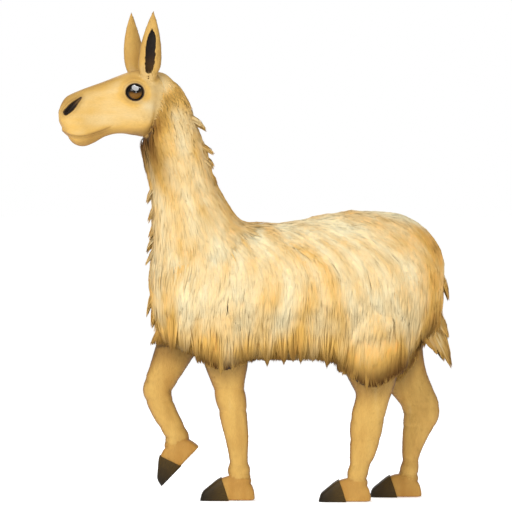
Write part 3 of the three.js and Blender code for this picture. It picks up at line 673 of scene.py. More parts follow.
def muzzle_detail(points, normals):
    """Nostrils, lips and the cleft as furrows depth * (1 - (d / width)^2) along their lines, with a rim over
    each nostril and an upper lip that hangs over the lower one."""
    local = off_skull(points)
    push = np.zeros(len(points))
    for side in (-1, 1):
        own = local[:, 1] * side > -3
        d, share = distance(local, nostril_line(side))
        width = nostril_width(share)
        push -= own * mix(6, 19, smooth(share, 0, 0.8)) * np.clip(1 - (d / width) ** 2, 0, 1) ** 0.7
        push += own * 3.4 * bell(d, width + 3.5, 4) * smooth(share, 0.0, 0.3)
        line = mouth_line(side)
        d, share = distance(local, line)
        above = local[:, 2] - line[(share * (len(line) - 1)).round().astype(int), 2]
        push -= own * mix(2, 6.5, smooth(share, 0, 0.4)) * np.clip(1 - (d / 4.5) ** 2, 0, 1)
        front = smooth(share, 0.1, 0.8)
        push += own * mix(0.5, 4.0, front) * bell(above, 10, 9) * bell(d, 10, 10)
        push -= own * mix(0.0, 4.5, front) * bell(above, -11, 8) * bell(d, 11, 10)
    d, _ = distance(local, CLEFT_LINE)
    push -= 5 * np.clip(1 - (d / 4.5) ** 2, 0, 1)
    u = POLL[0] - local[:, 0]
    return points + normals * (push * (u > 200))[:, None]


def leg_detail(points, normals, part):
    """Low folds and bones of the legs: the knees and hocks, the sinews behind them, and the fetlock."""
    push = np.zeros(len(points))
    pz = points[:, 2]
    for name, (z, size) in KNEES.items():
        own = is_of(part, name)
        knee = 3.5 * bell(pz, z, 26) * smooth(-normals[:, 0], -0.2, 0.8)
        push += own * size * (knee - 2.6 * bell(pz, z - 38, 9) - 2.4 * bell(pz, z + 40, 10))
        up = pz - FEET[name][0][2]
        push += own * (2.4 * bell(up, 112, 16) - 2.6 * bell(up, 84, 6) - 1.8 * bell(up, 140, 10))
        sinew = bell(normals[:, 0] - 0.35, 0, 0.22) * smooth(up, 130, 190) * (pz < z - 20)
        push -= own * 2.2 * sinew
    return points + normals * push[:, None]


def nearest_part(points, nets):
    """For each point of the skin, the nearest net point's part, share, turn and way along."""
    part = np.concatenate([np.full(net[1].size, PARTS.index(name)) for name, net in nets.items()])
    places, t, turn, along = (
        np.concatenate([net[k].reshape(net[1].size, -1) for net in nets.values()]) for k in range(4)
    )
    best = nearest(points, places)
    return part[best], t[best, 0], turn[best, 0], along[best]


def nearest(points, others, cell=60.0):
    """The number of the nearest of the others for each point: both are sorted into cells, and each cell's
    points are measured against the others of the 27 cells about it, or against all of them where there are
    none."""
    low = np.minimum(points.min(0), others.min(0)) - cell
    size = (np.maximum(points.max(0), others.max(0)) - low) // cell + 3

    def key(cells):
        return (cells @ np.array([1, size[0], size[0] * size[1]])).astype(int)

    cells, home = np.unique(key((points - low) // cell), return_inverse=True)
    parts = np.split(np.argsort(home, kind="stable"), np.cumsum(np.bincount(home))[:-1])
    other_key = key((others - low) // cell)
    other_order = np.argsort(other_key, kind="stable")
    sorted_keys = other_key[other_order]
    offsets = key(np.array([[x, y, z] for x in (-1, 0, 1) for y in (-1, 0, 1) for z in (-1, 0, 1)]))
    best = np.zeros(len(points), int)
    for cell_key, own in zip(cells, parts):
        spans = [other_order[slice(*np.searchsorted(sorted_keys, [k, k + 1]))] for k in cell_key + offsets]
        near = np.concatenate(spans)
        if not len(near):
            near = np.arange(len(others))
        q = others[near]
        apart = (q**2).sum(1)[None] - 2 * points[own] @ q.T
        best[own] = near[apart.argmin(1)]
    return best


def leans(x, z):
    """How far back the trunk's coat leans for each step down: low on the flank, high along the back, mixed by
    smooth(z, 790, 1000), and that mixing's sum from below up to z."""
    place = (x - TRUNK_FRONT) / (TRUNK_BACK - TRUNK_FRONT)
    low = curve([-0.3, -0.26, -0.08, 0.06, 0.22, 0.3], place)
    high = curve([-0.1, 0.5, 1.4, 1.8, 1.7, 0.9], place)
    s = np.clip((z - 790) / 210, 0, 1)
    return low, high, smooth(z, 790, 1000), 210 * (s**3 - s**4 / 2) + np.maximum(z - 1000, 0)


def coat_way(points, normals, part, along):
    """Which way the coat runs at each point of the skin. On the trunk it is down, leaning forwards before
    the shoulder and backwards over the thigh, and off the spine to both sides; elsewhere it runs along the
    part, back over the head, up the ears and forwards over the feet."""
    x, y = points[:, 0], points[:, 1]
    low, high, share, _ = leans(x, points[:, 2])
    top = smooth(normals[:, 2], 0.3, 0.95)
    trunk = np.stack([mix(low, high, share), np.tanh(y / 45) * (0.25 + 0.4 * top), -1 + 0 * x], -1)
    back = turned(np.array([[1.0, 0, -0.22]]), "z", HEAD_YAW)
    own = [is_of(part, *names)[:, None] for names in (["trunk"], ["head"], EARS, TOES)]
    return unit(np.select(own, [trunk, back, np.array([[0, 0, 1.0]]), np.array([[-0.6, 0, -0.8]])], along))


def streaks(points, part):
    """Long soft streaks from -1 to 1 along the coat: noise that is drawn out down the trunk with the coat's
    lean, down the neck and legs and back over the head, at two sizes."""
    x, y, z = points.T
    low, high, share, total = leans(x, z)
    stream = x + low * (z - 800) + (high - low) * total + 20 * np.sin(z / 80 + x / 130)
    trunk = np.stack([stream / 56, y / 110, (z - 0.8 * share * x) / 250], -1)
    neck = np.stack([(0.964 * x + 0.266 * z + 9 * np.sin(z / 60)) / 44, y / 50, z / 230], -1)
    head = np.stack([x / 150, y / 30, z / 30], -1)
    leg = np.stack([x / 22, y / 22, z / 190], -1)
    long = is_of(part, "trunk") | is_of(part, *LEGS) & (z > hem_at(points))
    own = [long[:, None], is_of(part, "neck")[:, None], is_of(part, "head")[:, None]]
    place = np.select(own, [trunk, neck, head], leg)
    return noise(place, 1) + 0.45 * noise(place * 2.3, 2)


def tone_and_painted_shade(points, normals, part):
    """How warm (0 to 1) and how dark (0 to 1) the coat is, from its place and the way it faces: cream on the
    flanks and neck, golden along the spine, nape, chest and edges, brown at the hem, the throat and the tops
    of
    the legs, near black in the nostrils, the mouth, the ears and round the eyes. Much of this is painted
    shade:
    the gold and brown of the edges that turn from the side, of the undersides, the hem, the throat, the
    cheek's shadow on the neck, the legs' tops under the coat and the hollows of nostrils and mouth. The pale
    ridge under the eye is a painted highlight."""
    x, _, z = points.T
    hem = hem_at(points)
    # across grows as the surface turns away from the side, and up as it faces up: colour drawn from them is
    # painted light and shade
    across, up = 1 - np.abs(normals[:, 1]), normals[:, 2]
    trunk, neck, tail, head, ears, legs, feet = (
        is_of(part, *names) for names in (["trunk"], ["neck"], ["tail"], ["head"], EARS, LEGS, TOES)
    )
    trunk |= legs & (z > hem)
    legs &= ~trunk
    # what hangs behind the chin and under the jaw is the throat's
    neck |= head & (z < JAW_Z) & (x > CHIN_X)
    head &= ~neck
    local = off_skull(points)
    u = POLL[0] - local[:, 0]
    run = streaks(points, part)
    # painted shade in the warmth: each term in across warms the coat towards its outline, and the trunk is
    # paler where it faces up and warmer where it faces down
    warm = np.select(
        [trunk, neck, tail, head, ears, legs, feet],
        [
            0.27 - 0.12 * smooth(up, 0.2, 0.8) + 0.2 * smooth(-up, 0.2, 0.8) + 0.1 * smooth(x, 560, 700),
            0.27 + 0.2 * across**1.5 + 0.16 * smooth(z, 1400, 1500),
            0.42 + 0.2 * across,
            0.36 + 0.34 * across**2 + 0.08 * smooth(u, 230, 380),
            mix(0.4, 0.56, smooth(z, 1560, 1640)) + 0.18 * across,
            0.56 + 0.44 * across**1.6,
            0.78 + 0.2 * across**2,
        ],
    )
    warm = warm + run * np.select([trunk, neck, tail, head, ears], [0.26, 0.22, 0.16, 0.07, 0.06], 0.08)
    # painted shade at the hem: the trunk's coat warms from 170 mm above the hem and goes brown over its last
    # 72 to 122 mm, deepest over the thighs and the elbows
    warm += trunk * 0.28 * smooth(hem + 170 - z, 0, 150)
    fade = mix(72, 122, bell(x, 450, 120))
    deep = mix(0.78, 1.0, bell(x, 450, 140) + bell(x, -120, 90))
    dark = deep * smooth((hem + fade - z) / fade, 0, 1.05) * trunk
    # painted shadow of the coat on the legs' tops: brown from 90 mm under the hem up to it
    dark += legs * 0.4 * smooth(z, hem - 90, hem - 6)
    # painted shade: the head goes darker and warmer along its lower outline, and along its upper outline from
    # a little before the eyes
    share = np.clip(u, 0, HEAD_LENGTH) / HEAD_LENGTH
    low, high = curve(head_bottom, share), curve(head_top, share)
    v = (local[:, 2] - low) / (high - low)
    edge = 0.2 * smooth(u, 150, 220) * smooth(v, 0.8, 1.0) + 0.34 * smooth(-v, -0.2, 0.0)
    dark += head * edge * smooth(u, 20, 110)
    warm += head * (0.1 * smooth(v, 0.8, 1.0) + 0.2 * smooth(-v, -0.3, -0.05))
    # painted shade: head, neck, legs, feet and ears go darker towards their outline, where the surface turns
    # from the side
    dark += head * 0.12 * across**1.6 + neck * (0.14 + 0.2 * smooth(z, 1380, 1480)) * across**3
    dark += legs * (0.02 + 0.6 * across**1.5) + feet * 0.34 * across**1.6
    dark += ears * (0.12 + 0.3 * across**1.5)
    # under the jaw the shade is deepest at the neck's front edge, and thins out backwards and down
    throat = smooth(30 - x - 0.35 * z, -122, -30) * smooth(-z, -1500, -1430) * smooth(z, 1090, 1360)
    dark += 0.9 * throat * neck
    warm += 0.4 * throat * neck
    # painted shadow of the cheek on the neck, behind and under the jaw's rear
    behind = neck * bell(x - 0.35 * (z - 1400), -352, 34) * smooth(z, 1330, 1390) * smooth(-z, -1540, -1480)
    dark += 0.34 * behind
    warm += 0.3 * behind
    dark += 0.4 * smooth(-z, -620, -500) * tail
    # painted shade: the trunk is darker where it faces down
    dark += trunk * 0.3 * smooth(-up, 0.4, 0.9)
    # painted shade along the lower edge of the jaw at the head's rear
    jaw = bell(local[:, 2], mix(1352, 1390, smooth(-u, -120, -20)), 16) * smooth(-u, -190, -90)
    dark += 0.25 * jaw * head
    # round the eye the bare lid rim is near black; the softer dark ring about it and the warmer ring beyond
    # are painted shade
    r = np.hypot((u - EYE_U) / 33, (local[:, 2] - EYE_Z) / 30) + 9 * (np.abs(local[:, 1]) < 40)
    dark += head * (1.0 * (1 - smooth(r, 1.04, 1.2)) + 0.2 * bell(r, 1.28, 0.2))
    warm += head * 0.16 * bell(r, 1.5, 0.4)
    # a painted highlight along the ridge under and behind the eye
    warm -= head * 0.2 * bell(u, 92, 40) * bell(local[:, 2], 1466 + 0.25 * (u - 92), 16)
    # nostrils and mouth: partly the bare skin of nostrils and lips, partly painted shade, deepest in each
    # nostril's hollow and along the mouth's crease, with a softer painted shade about them
    near = head & (u > 190)
    for line_side in (-1, 1):
        own = near & (local[:, 1] * line_side > -4)
        d, share = np.full(len(x), 99.0), np.zeros(len(x))
        if own.any():
            d[own], share[own] = beside(local[own], nostril_line(line_side), (-0.45, line_side * 0.88, 0.1))
            width = nostril_width(share)
            depth = mix(0.72, 1.0, smooth(share, 0.1, 0.75))
            dark += depth * (1 - smooth(d, width * 0.75, width + 2.5)) + 0.2 * bell(d, width + 4, 8)
            d[own], share[own] = distance(local[own], mouth_line(line_side))
            lip = 0.7 * (1 - smooth(d, 1.5, 5.0)) + 0.22 * bell(d, 5, 7)
            dark += np.where(d < 90, lip * smooth(share, 0, 0.2), 0)
    return np.clip(warm, 0, 1), np.clip(dark, 0, 1)


class Skin:
    """The skin's arrays in millimetres, and what lies under any point over it."""

    def __init__(self, points, faces, part, t, turn, along, ear):
        self.points, self.faces, self.part, self.t, self.turn = points, faces, part, t, turn
        self.normals = normals_of(points, faces)
        self.edges = edges_of(faces)
        way = relaxed(coat_way(points, self.normals, part, along), self.edges, 0.5, 24)
        way -= self.normals * (way * self.normals).sum(1, keepdims=True)
        self.way = unit(way)
        self.ear = ear
        self.hem = hem_at(points)
        start, stop = self.edges
        rank = np.arange(len(start)) - np.searchsorted(start, start)
        self.ring = np.tile(np.arange(len(points))[:, None], (1, 9))
        keep = rank < 8
        self.ring[start[keep], rank[keep] + 1] = stop[keep]

    def of(self, *names):
        """Where the skin is of the named parts."""
        return is_of(self.part, *names)

    def near(self, p, start):
        """The number of the nearest point: from start, each walk goes to the nearest of a point and its
        neighbours, until none moves."""
        best = np.array(start)
        moving = np.arange(len(p))
        for _ in range(MOST_WALKS):
            ring = self.ring[best[moving]]
            apart = ((self.points[ring] - p[moving, None]) ** 2).sum(-1)
            pick = apart.argmin(1)
            best[moving] = ring[np.arange(len(moving)), pick]
            moving = moving[pick > 0]
            if not len(moving):
                break
        return best

    def under(self, p, start, exact=False):
        """Height over the skin, its normal and the coat's way there, weighed over the neighbours, and the
        number of the nearest point, walking from the one at start or, if exact, out of all of them."""
        best = nearest(p, self.points) if exact else self.near(p, start)
        ring = self.ring[best]
        weight = 1 / (((self.points[ring] - p[:, None]) ** 2).sum(-1) + 4)
        weight /= weight.sum(1, keepdims=True)
        normal = unit((self.normals[ring] * weight[..., None]).sum(1))
        way = unit((self.way[ring] * weight[..., None]).sum(1))
        height = ((p - self.points[best]) * self.normals[best]).sum(1)
        return height, normal, way, best


MODEL = {}  # the skin, which the coat is laid on


def melted_skin(fine):
    """The skin in three nets: trunk, neck and tail 12 mm apart under the long coat, the legs and feet 6 mm
    apart, the head and ears 3.5 mm apart, then one surface by union."""
    nets = part_nets()
    points, faces = blended([shell(nets[n][0]) for n in ("trunk", "neck", "tail")], BODY_NET)
    edges = edges_of(faces)
    shoulder = bell(points[:, 2], 960, 130) * smooth(-points[:, 0], -120, 20)
    points = relaxed(points, edges, 0.5, 3)
    points = relaxed(points, edges, 0.55 * shoulder[:, None], 26)
    body = points, faces
    limbs = []
    for name in LEGS:
        limb = [nets[name][0], toe_net(name, -1), toe_net(name, 1), ankle_net(name)]
        points, faces = blended([shell(p) for p in limb], mix(*LIMB_NET, fine))
        limbs.append((relaxed(points, edges_of(faces), 0.5, 2), faces))
    ears = [shell(ear_net(side)) for side in EARS.values()]
    t, turn = grid(NECK.shares(40, 0.02, 0.36), 60)
    upper = NECK.at(t, turn, -3 - 24 * smooth(t, 0.14, 0.35))
    points, faces = blended([shell(nets["head"][0]), shell(upper), *ears], mix(*HEAD_NET, fine))
    edges = edges_of(faces)
    local = off_skull(points)
    u = POLL[0] - local[:, 0]
    foot = bell(points[:, 2], 1584, 15) * (np.abs(local[:, 1]) > 12)
    nape = smooth(-u, -62, -16) * smooth(points[:, 2], 1385, 1440) * smooth(-points[:, 2], -1600, -1560)
    points = relaxed(points, edges, 0.4, 2)
    points = relaxed(points, edges, 0.6 * np.clip(foot, 0, 1)[:, None], 10)
    points = relaxed(points, edges, 0.7 * nape[:, None], 90)
    points = eye_detail(points)
    points = muzzle_detail(points, normals_of(points, faces))
    points = relaxed(points, edges, 0.3, 1)
    return united([body, *limbs, (points, faces)])


def make_skin(fine):
    """The whole skin with its parts told, the creases round the legs' tops drawn out, and the legs' low
    folds pressed in."""
    points, faces = melted_skin(fine)
    nets = part_nets()
    for foot, name in TOES.items():
        toes = np.concatenate([toe_net(name, side) for side in (-1, 1)])
        flat = np.zeros(toes.shape[:2])
        nets[foot] = (toes, flat, flat, np.zeros(toes.shape))
    for name, side in EARS.items():
        net = ear_net(side)
        s, turn = np.broadcast_arrays(*grid(np.linspace(0, 1, net.shape[0]), net.shape[1]))
        nets[name] = (net, s, turn, np.zeros(net.shape))
    part, t, turn, along = nearest_part(points, nets)
    # leg is the share of leg about a point, which is a half at a crease
    edges = edges_of(faces)
    leg = relaxed(is_of(part, *LEGS)[:, None] * 1.0, edges, 0.5, 14)
    points = relaxed(points, edges, 2.4 * leg * (1 - leg) * (points[:, 2:] > CREASE_Z), 50)
    # the inner side of an ear, from a little under its opening to a little over it
    inside = (turn > np.pi * 1.06) & (np.abs(t - OPENING) < OPENING_REACH + 0.01)
    ear = np.where(is_of(part, *EARS) & inside, t, -1)
    points = leg_detail(points, normals_of(points, faces), part)
    return Skin(points, faces, part, t, turn, along, ear)


# ---------------------------------------------------------------- coat


def scatter(rng, skin, weight, count):
    """Roots spread over the skin by area and weight, random places in random faces, and a corner of each
    root's face."""
    a, b, c = (skin.points[skin.faces[:, k]] for k in range(3))
    area = np.linalg.norm(np.cross(b - a, c - a), axis=1) * weight[skin.faces].mean(1)
    pick = np.searchsorted(np.cumsum(area), rng.random(count) * area.sum())
    pick = pick.clip(0, len(area) - 1)
    r, s = np.sqrt(rng.random(count))[:, None], rng.random(count)[:, None]
    return a[pick] * (1 - r) + b[pick] * r * (1 - s) + c[pick] * r * s, skin.faces[pick, 0]


def spread(rng, roots, spacing, rounds=3):
    """Middles about a spacing apart: random roots that move, some number of times, to the middle of the
    roots nearest to them. Gives the root at each middle and each root's own middle."""
    area = len(np.unique((roots // spacing).astype(int), axis=0))
    middles = roots[rng.choice(len(roots), min(area, len(roots)), replace=False)]
    for _ in range(rounds):
        own = nearest(roots, middles, max(60.0, 2 * spacing))
        count = np.bincount(own, minlength=len(middles))[:, None]
        total = np.stack([np.bincount(own, v, len(middles)) for v in roots.T], -1)
        middles = np.where(count > 0, total / count.clip(1), middles)
    guide = nearest(middles, roots)
    return guide, nearest(roots, roots[guide], max(60.0, 2 * spacing))


def laid(skin, roots, home, length, lifts, hang):
    """Paths over the skin: each step goes along the coat's way and is set back to its lift over the skin.
    Coat that hangs falls straight down where the skin turns under, and is only kept out."""
    steps = lifts.shape[1] - 1
    _, normal, way, best = skin.under(roots, home)
    point = roots + normal * lifts[:, :1]
    path, ups = [point], [normal]
    fall = np.array([0.0, 0.0, -1.0])
    for k in range(1, steps + 1):
        under = hang * smooth(-normal[:, 2], -0.25, 0.2)
        step = unit(mix(way, fall + 0.25 * way * np.array([1, 0, 0]), under[:, None]))
        ahead = point + step * (length / steps)[:, None]
        height, normal, way, best = skin.under(ahead, best, hang)
        lift = lifts[:, k]
        free = (under > 0.5) & (height > lift)
        point = ahead + normal * np.where(free, 0, lift - height)[:, None]
        up = np.where(free[:, None], unit(ups[-1] * np.array([1, 1, 0.3])), normal)
        path.append(point)
        ups.append(up)
    return np.stack(path, 1), np.stack(ups, 1)


def clumped(path, guide, own, pull, tip_share=0.18):
    """Tufts drawn to their lock's middle line: at share s a tuft keeps 1 - pull * s^1.4 of its own path and
    takes the rest from its guide's, beside which it keeps a small share of its distance."""
    s = np.linspace(0, 1, path.shape[1])[None, :, None]
    line = path[guide][own]
    offset = (path[:, :1] - line[:, :1]) * tip_share
    return mix(path, line + offset, pull * s**1.4)


def tuft_mesh(name, path, ups, width, thick, tint, place, soft):
    """Closed three-sided tufts: at each of a path's rings a left, a right and a ridge point, drawn to a
    point at the tip. width(s) rises from 0.7 to 1 and falls to the tip. tint is (warm, dark, chance) for
    each tuft, and the fourth value of its colour is the share along it. Each tuft has a small patch in the
    OFBake map, at its root's place."""
    count, rings = path.shape[0], path.shape[1] - 1
    s = np.linspace(0, 1, rings + 1)
    broad = curve([0.7, 1.0, 1.0, 0.8, 0.3], s)[None, :, None]
    along = unit(np.gradient(path, axis=1))
    across = unit(np.cross(along, ups))
    up = unit(np.cross(across, along))
    half = broad * (width / 2)[:, None, None]
    high = broad * thick[:, None, None]
    sides = np.stack([path - across * half, path + across * half, path + up * high], 2)[:, :rings]
    points = np.concatenate([sides.reshape(count, -1, 3), path[:, -1:]], 1)
    per = 3 * rings + 1
    k = np.arange(rings - 1)[:, None] * 3
    pairs = (0, 1), (1, 2), (2, 0)
    quad = np.concatenate([np.stack([k + a, k + b, k + 3 + b, k + 3 + a], -1) for a, b in pairs])
    quad = quad.reshape(-1, 4)
    tip = np.array([[per - 4 + a, per - 4 + b, per - 1] for a, b in pairs])
    pattern = np.vstack([quad[:, [0, 1, 2]], quad[:, [0, 2, 3]], tip, [[0, 2, 1]]])[:, ::-1]
    faces = (pattern[None] + np.arange(count)[:, None, None] * per).reshape(-1, 3)
    mesh = mesh_from(name, points.reshape(-1, 3) / 1000, faces)
    normal = np.stack([up * soft - across * (1 - soft), up * soft + across * (1 - soft), up], 2)[:, :rings]
    normal = np.concatenate([normal.reshape(count, -1, 3), up[:, -1:]], 1)
    mesh.normals_split_custom_set_from_vertices(unit(normal).reshape(-1, 3))
    share = np.append(np.repeat(s[:rings], 3), 1)
    colour = np.concatenate([np.repeat(tint[:, :rings], 3, 1), tint[:, rings:]], 1)
    set_tint(mesh, [*np.moveaxis(colour, -1, 0), np.tile(share, (count, 1))])
    side = np.append(np.tile([0.0, 1.0, 0.5], rings), 0.5)
    patch = np.stack([side - 0.5, share - 0.5], -1)[None] * BAKE_PATCH
    uv = (place[:, None] + patch).reshape(-1, 2)
    mesh.uv_layers.new(name="OFBake").data.foreach_set("uv", uv[faces.ravel()].astype(np.float32).ravel())
    return mesh


def unwrapped(skin, best):
    """Each root's place on the unwrap of its part of the skin, share along by turn round, drawn out to fill
    the square."""
    place = np.stack([skin.turn[best] / (2 * np.pi), skin.t[best]], -1)
    low, high = place.min(0), place.max(0)
    return 0.02 + 0.96 * (place - low) / np.maximum(high - low, 1e-6)


def sides_of(roots):
    return ("left", roots[:, 1] < 0), ("right", roots[:, 1] >= 0)


# ---------------------------------------------------------------- materials


def linear(colour):
    """An sRGB hex value as linear red, green, blue and 1."""
    value = [int(colour[i : i + 2], 16) / 255 for i in (1, 3, 5)]
    return [v / 12.92 if v <= 0.04045 else ((v + 0.055) / 1.055) ** 2.4 for v in value] + [1.0]


def fill(tree, node, inputs):
    """A node's inputs set to values, or linked to sockets or to other nodes' first outputs."""
    for name, value in inputs.items():
        if isinstance(value, bpy.types.Node):
            value = value.outputs[0]
        if isinstance(value, bpy.types.NodeSocket):
            tree.links.new(value, node.inputs[name])
        else:
            node.inputs[name].default_value = value


def add(tree, kind, inputs, **settings):
    """A new shader node with its inputs and settings."""
    node = tree.nodes.new("ShaderNode" + kind)
    for name, value in settings.items():
        setattr(node, name, value)
    fill(tree, node, inputs)
    return node


def new_material(name, inputs):
    """A material with values on its surface's inputs, and its nodes and surface."""
    material = bpy.data.materials.new(name)
    material.use_nodes = True
    surface = material.node_tree.nodes["Principled BSDF"]
    fill(material.node_tree, surface, inputs)
    return material, material.node_tree, surface


def coat_colour(tree, wool):
    """The coat's colour: cream to golden by warmth, which is uneven in patches about 90 mm across, then brown
    by darkness. Gives the place and the tint it reads, and the tint's warmth, darkness and third part."""
    place = add(tree, "TexCoord", {}).outputs["Object"]
    tint = add(tree, "Attribute", {}, attribute_name="tint")
    warm, dark, third = add(tree, "SeparateColor", {0: tint}).outputs
    broad = add(tree, "TexNoise", {"Vector": place, "Scale": 9.0, "Detail": 2.0, "Roughness": 0.5})
    push = add(tree, "Math", {0: broad, 1: 0.3, 2: -0.15}, operation="MULTIPLY_ADD")
    share = add(tree, "Math", {0: warm, 1: push}, operation="ADD")
    low = add(tree, "MapRange", {"Value": share, 1: 0.0, 2: 0.5})
    high = add(tree, "MapRange", {"Value": share, 1: 0.5, 2: 1.0})
    cream, honey, amber, brown = map(linear, (wool.cream, wool.honey, wool.amber, wool.brown))
    pale = add(tree, "Mix", {0: low, 6: cream, 7: honey}, data_type="RGBA").outputs[2]
    gold = add(tree, "Mix", {0: high, 6: pale, 7: amber}, data_type="RGBA").outputs[2]
    colour = add(tree, "Mix", {0: dark, 6: gold, 7: brown}, data_type="RGBA").outputs[2]
    return colour, place, tint, dark, third


def fleece_material(wool):
    """Alpaca-like fleece, combed: soft matt fibre with a faint silky sheen, paler and drier at the tips, and
    a faint painted glow of its own colour.
    """
    material, tree, surface = new_material("combed_llama_fleece", {
        "Roughness": 0.78, "Sheen Weight": 0.08, "Sheen Roughness": 0.5, "Specular IOR Level": 0.25,
        "Emission Strength": 0.14,
    })
    colour, place, tint, _, chance = coat_colour(tree, wool)
    # each tuft a little lighter or darker, and paler towards its tip
    each = add(tree, "Math", {0: chance, 1: 0.07, 2: 0.95}, operation="MULTIPLY_ADD")
    tip = add(tree, "Math", {0: tint.outputs["Alpha"], 1: 0.05, 2: each}, operation="MULTIPLY_ADD")
    lit = add(tree, "VectorMath", {0: colour, "Scale": tip}, operation="SCALE")
    # fibres 1 mm apart, as a shallow bump along the fall of the coat
    stretched = add(tree, "Mapping", {"Vector": place, "Scale": (900.0, 900.0, 120.0)})
    fibre = add(tree, "TexNoise", {"Vector": stretched, "Scale": 1.0, "Detail": 1.0})
    bump = add(tree, "Bump", {"Height": fibre, "Strength": 0.25, "Distance": 0.0006})
    # a painted glow: the fibres glow faintly in their own colour, in place of light scattered many times
    # between them
    fill(tree, surface, {"Base Color": lit, "Emission Color": lit, "Normal": bump})
    # two fifths of the light go through the fibres
    through = add(tree, "BsdfTranslucent", {"Color": lit})
    both = add(tree, "MixShader", {0: 0.4, 1: surface, 2: through})
    fill(tree, tree.nodes["Material Output"], {"Surface": both})
    return material


def short_material(name, wool):
    """Short flat hair over the face and legs: smoother than the fleece, its hairs 2 mm streaks of light and
    dark along the leg or back over the head, where the tint's third part is 1."""
    material, tree, surface = new_material(name, {
        "Roughness": 0.62, "Sheen Weight": 0.06, "Sheen Roughness": 0.45, "Specular IOR Level": 0.3,
    })
    colour, place, _, dark, head = coat_colour(tree, wool)
    down = add(tree, "Mapping", {"Vector": place, "Scale": (420.0, 420.0, 52.0)})
    back = add(tree, "Mapping", {"Vector": place, "Scale": (60.0, 420.0, 420.0)})
    way = add(tree, "Mix", {0: head, 4: down, 5: back}, data_type="VECTOR").outputs[1]
    hairs = add(tree, "TexNoise", {"Vector": way, "Scale": 1.0, "Detail": 3.0, "Roughness": 0.6})
    streak = add(tree, "Math", {0: hairs, 1: 0.24, 2: 0.55}, operation="MULTIPLY_ADD")
    lit = add(tree, "VectorMath", {0: colour, "Scale": streak}, operation="SCALE")
    # the bare rims of lids, lips and nostrils go nearly black, and so does the painted shade in the hollows
    # of the nostrils and ears
    deep = add(tree, "MapRange", {"Value": dark, 1: 0.72, 2: 1.0})
    shown = add(tree, "Mix", {0: deep, 6: lit, 7: linear(wool.bare)}, data_type="RGBA").outputs[2]
    bump = add(tree, "Bump", {"Height": hairs, "Strength": 0.5, "Distance": 0.0015})
    fill(tree, surface, {"Base Color": shown, "Normal": bump})
    return material


def nail_material(horn):
    """Keratin, worn: dark horn with growth ridges 3 mm apart and fine grain along the nail, half glossy. The
    tint's first part runs along the nail and its second round it."""
    material, tree, surface = new_material("worn_horn", {
        "Roughness": 0.46, "IOR": 1.5, "Specular IOR Level": 0.2,
    })
    tint = add(tree, "Attribute", {}, attribute_name="tint")
    along, around, _ = add(tree, "SeparateColor", {0: tint}).outputs
    grain = add(tree, "CombineXYZ", {"X": along, "Y": around})
    lines = add(tree, "Mapping", {"Vector": grain, "Scale": (5.0, 90.0, 1.0)})
    streak = add(tree, "TexNoise", {"Vector": lines, "Scale": 1.0, "Detail": 3.0})
    ridges = add(tree, "TexWave", {"Vector": grain, "Scale": 9.0, "Distortion": 2.0}, bands_direction="X")
    share = add(tree, "Math", {0: streak, 1: along}, operation="MULTIPLY")
    ends = {6: linear(horn.dark), 7: linear(horn.pale)}
    colour = add(tree, "Mix", {0: share, **ends}, data_type="RGBA").outputs[2]
    height = add(tree, "Math", {0: ridges.outputs["Fac"], 1: 0.4, 2: streak}, operation="MULTIPLY_ADD")
    bump = add(tree, "Bump", {"Height": height, "Strength": 0.35, "Distance": 0.0012})
    fill(tree, surface, {"Base Color": colour, "Normal": bump})
    return material


def eye_material(eye):
    """A wet cornea over a brown iris: very glossy, black about the rim and the long pupil. The tint's parts
    are how lit the iris is, the turn round the eye's axis and the turn away from it."""
    material, tree, surface = new_material("wet_eye", {
        "Roughness": 0.08, "IOR": 1.38, "Specular IOR Level": 0.32,
    })
    tint = add(tree, "Attribute", {}, attribute_name="tint")
    lit, around, away = add(tree, "SeparateColor", {0: tint}).outputs
    rays = add(tree, "CombineXYZ", {"X": around, "Y": away})
    fibre = add(tree, "Mapping", {"Vector": rays, "Scale": (60.0, 4.0, 1.0)})
    streak = add(tree, "TexNoise", {"Vector": fibre, "Scale": 1.0, "Detail": 2.0})
    ends = {6: linear(eye.iris), 7: linear(eye.glow)}
    brown = add(tree, "Mix", {0: streak, **ends}, data_type="RGBA").outputs[2]
    colour = add(tree, "Mix", {0: lit, 6: linear(eye.rim), 7: brown}, data_type="RGBA").outputs[2]
    fill(tree, surface, {"Base Color": colour})
    return material


# ---------------------------------------------------------------- settings


class LlamaWool(bpy.types.PropertyGroup):
    """The coat's colours and sizes."""

    cream: bpy.props.StringProperty(
        name="Cream", description="Palest fleece, sRGB hex", default="#FFF2C8"
    )
    honey: bpy.props.StringProperty(name="Honey", description="Warm fleece, sRGB hex", default="#F5C467")
    # amber: the legs' own gold, and the painted shade along the outline of head, legs and coat
    amber: bpy.props.StringProperty(
        name="Amber", description="Legs and edges, sRGB hex", default="#BA7818"
    )
    # brown: the painted shade at the hem, the throat and the legs' tops
    brown: bpy.props.StringProperty(
        name="Brown", description="Hem, throat and leg tops, sRGB hex", default="#583003"
    )
    # bare: the bare rims' own colour, and the painted shade in the hollows of nostrils and ears
    bare: bpy.props.StringProperty(
        name="Bare", description="Bare rims and ear hollows, sRGB hex", default="#1E1206"
    )
    length: bpy.props.FloatProperty(
        name="Length", description="Length of a tuft on the flank", default=0.135, unit="LENGTH"
    )
    width: bpy.props.FloatProperty(
        name="Width", description="Width of a tuft on the flank", default=0.0046, unit="LENGTH"
    )
    tufts: bpy.props.IntProperty(name="Tufts", description="Tufts on the trunk", default=30000)
    lock: bpy.props.FloatProperty(
        name="Lock", description="Distance between locks", default=0.07, unit="LENGTH"
    )


class LlamaHorn(bpy.types.PropertyGroup):
    """The nails' colours."""

    dark: bpy.props.StringProperty(
        name="Dark", description="Horn at the tip, sRGB hex", default="#160E02"
    )
    pale: bpy.props.StringProperty(
        name="Pale", description="Horn by the hair, sRGB hex", default="#5C440E"
    )


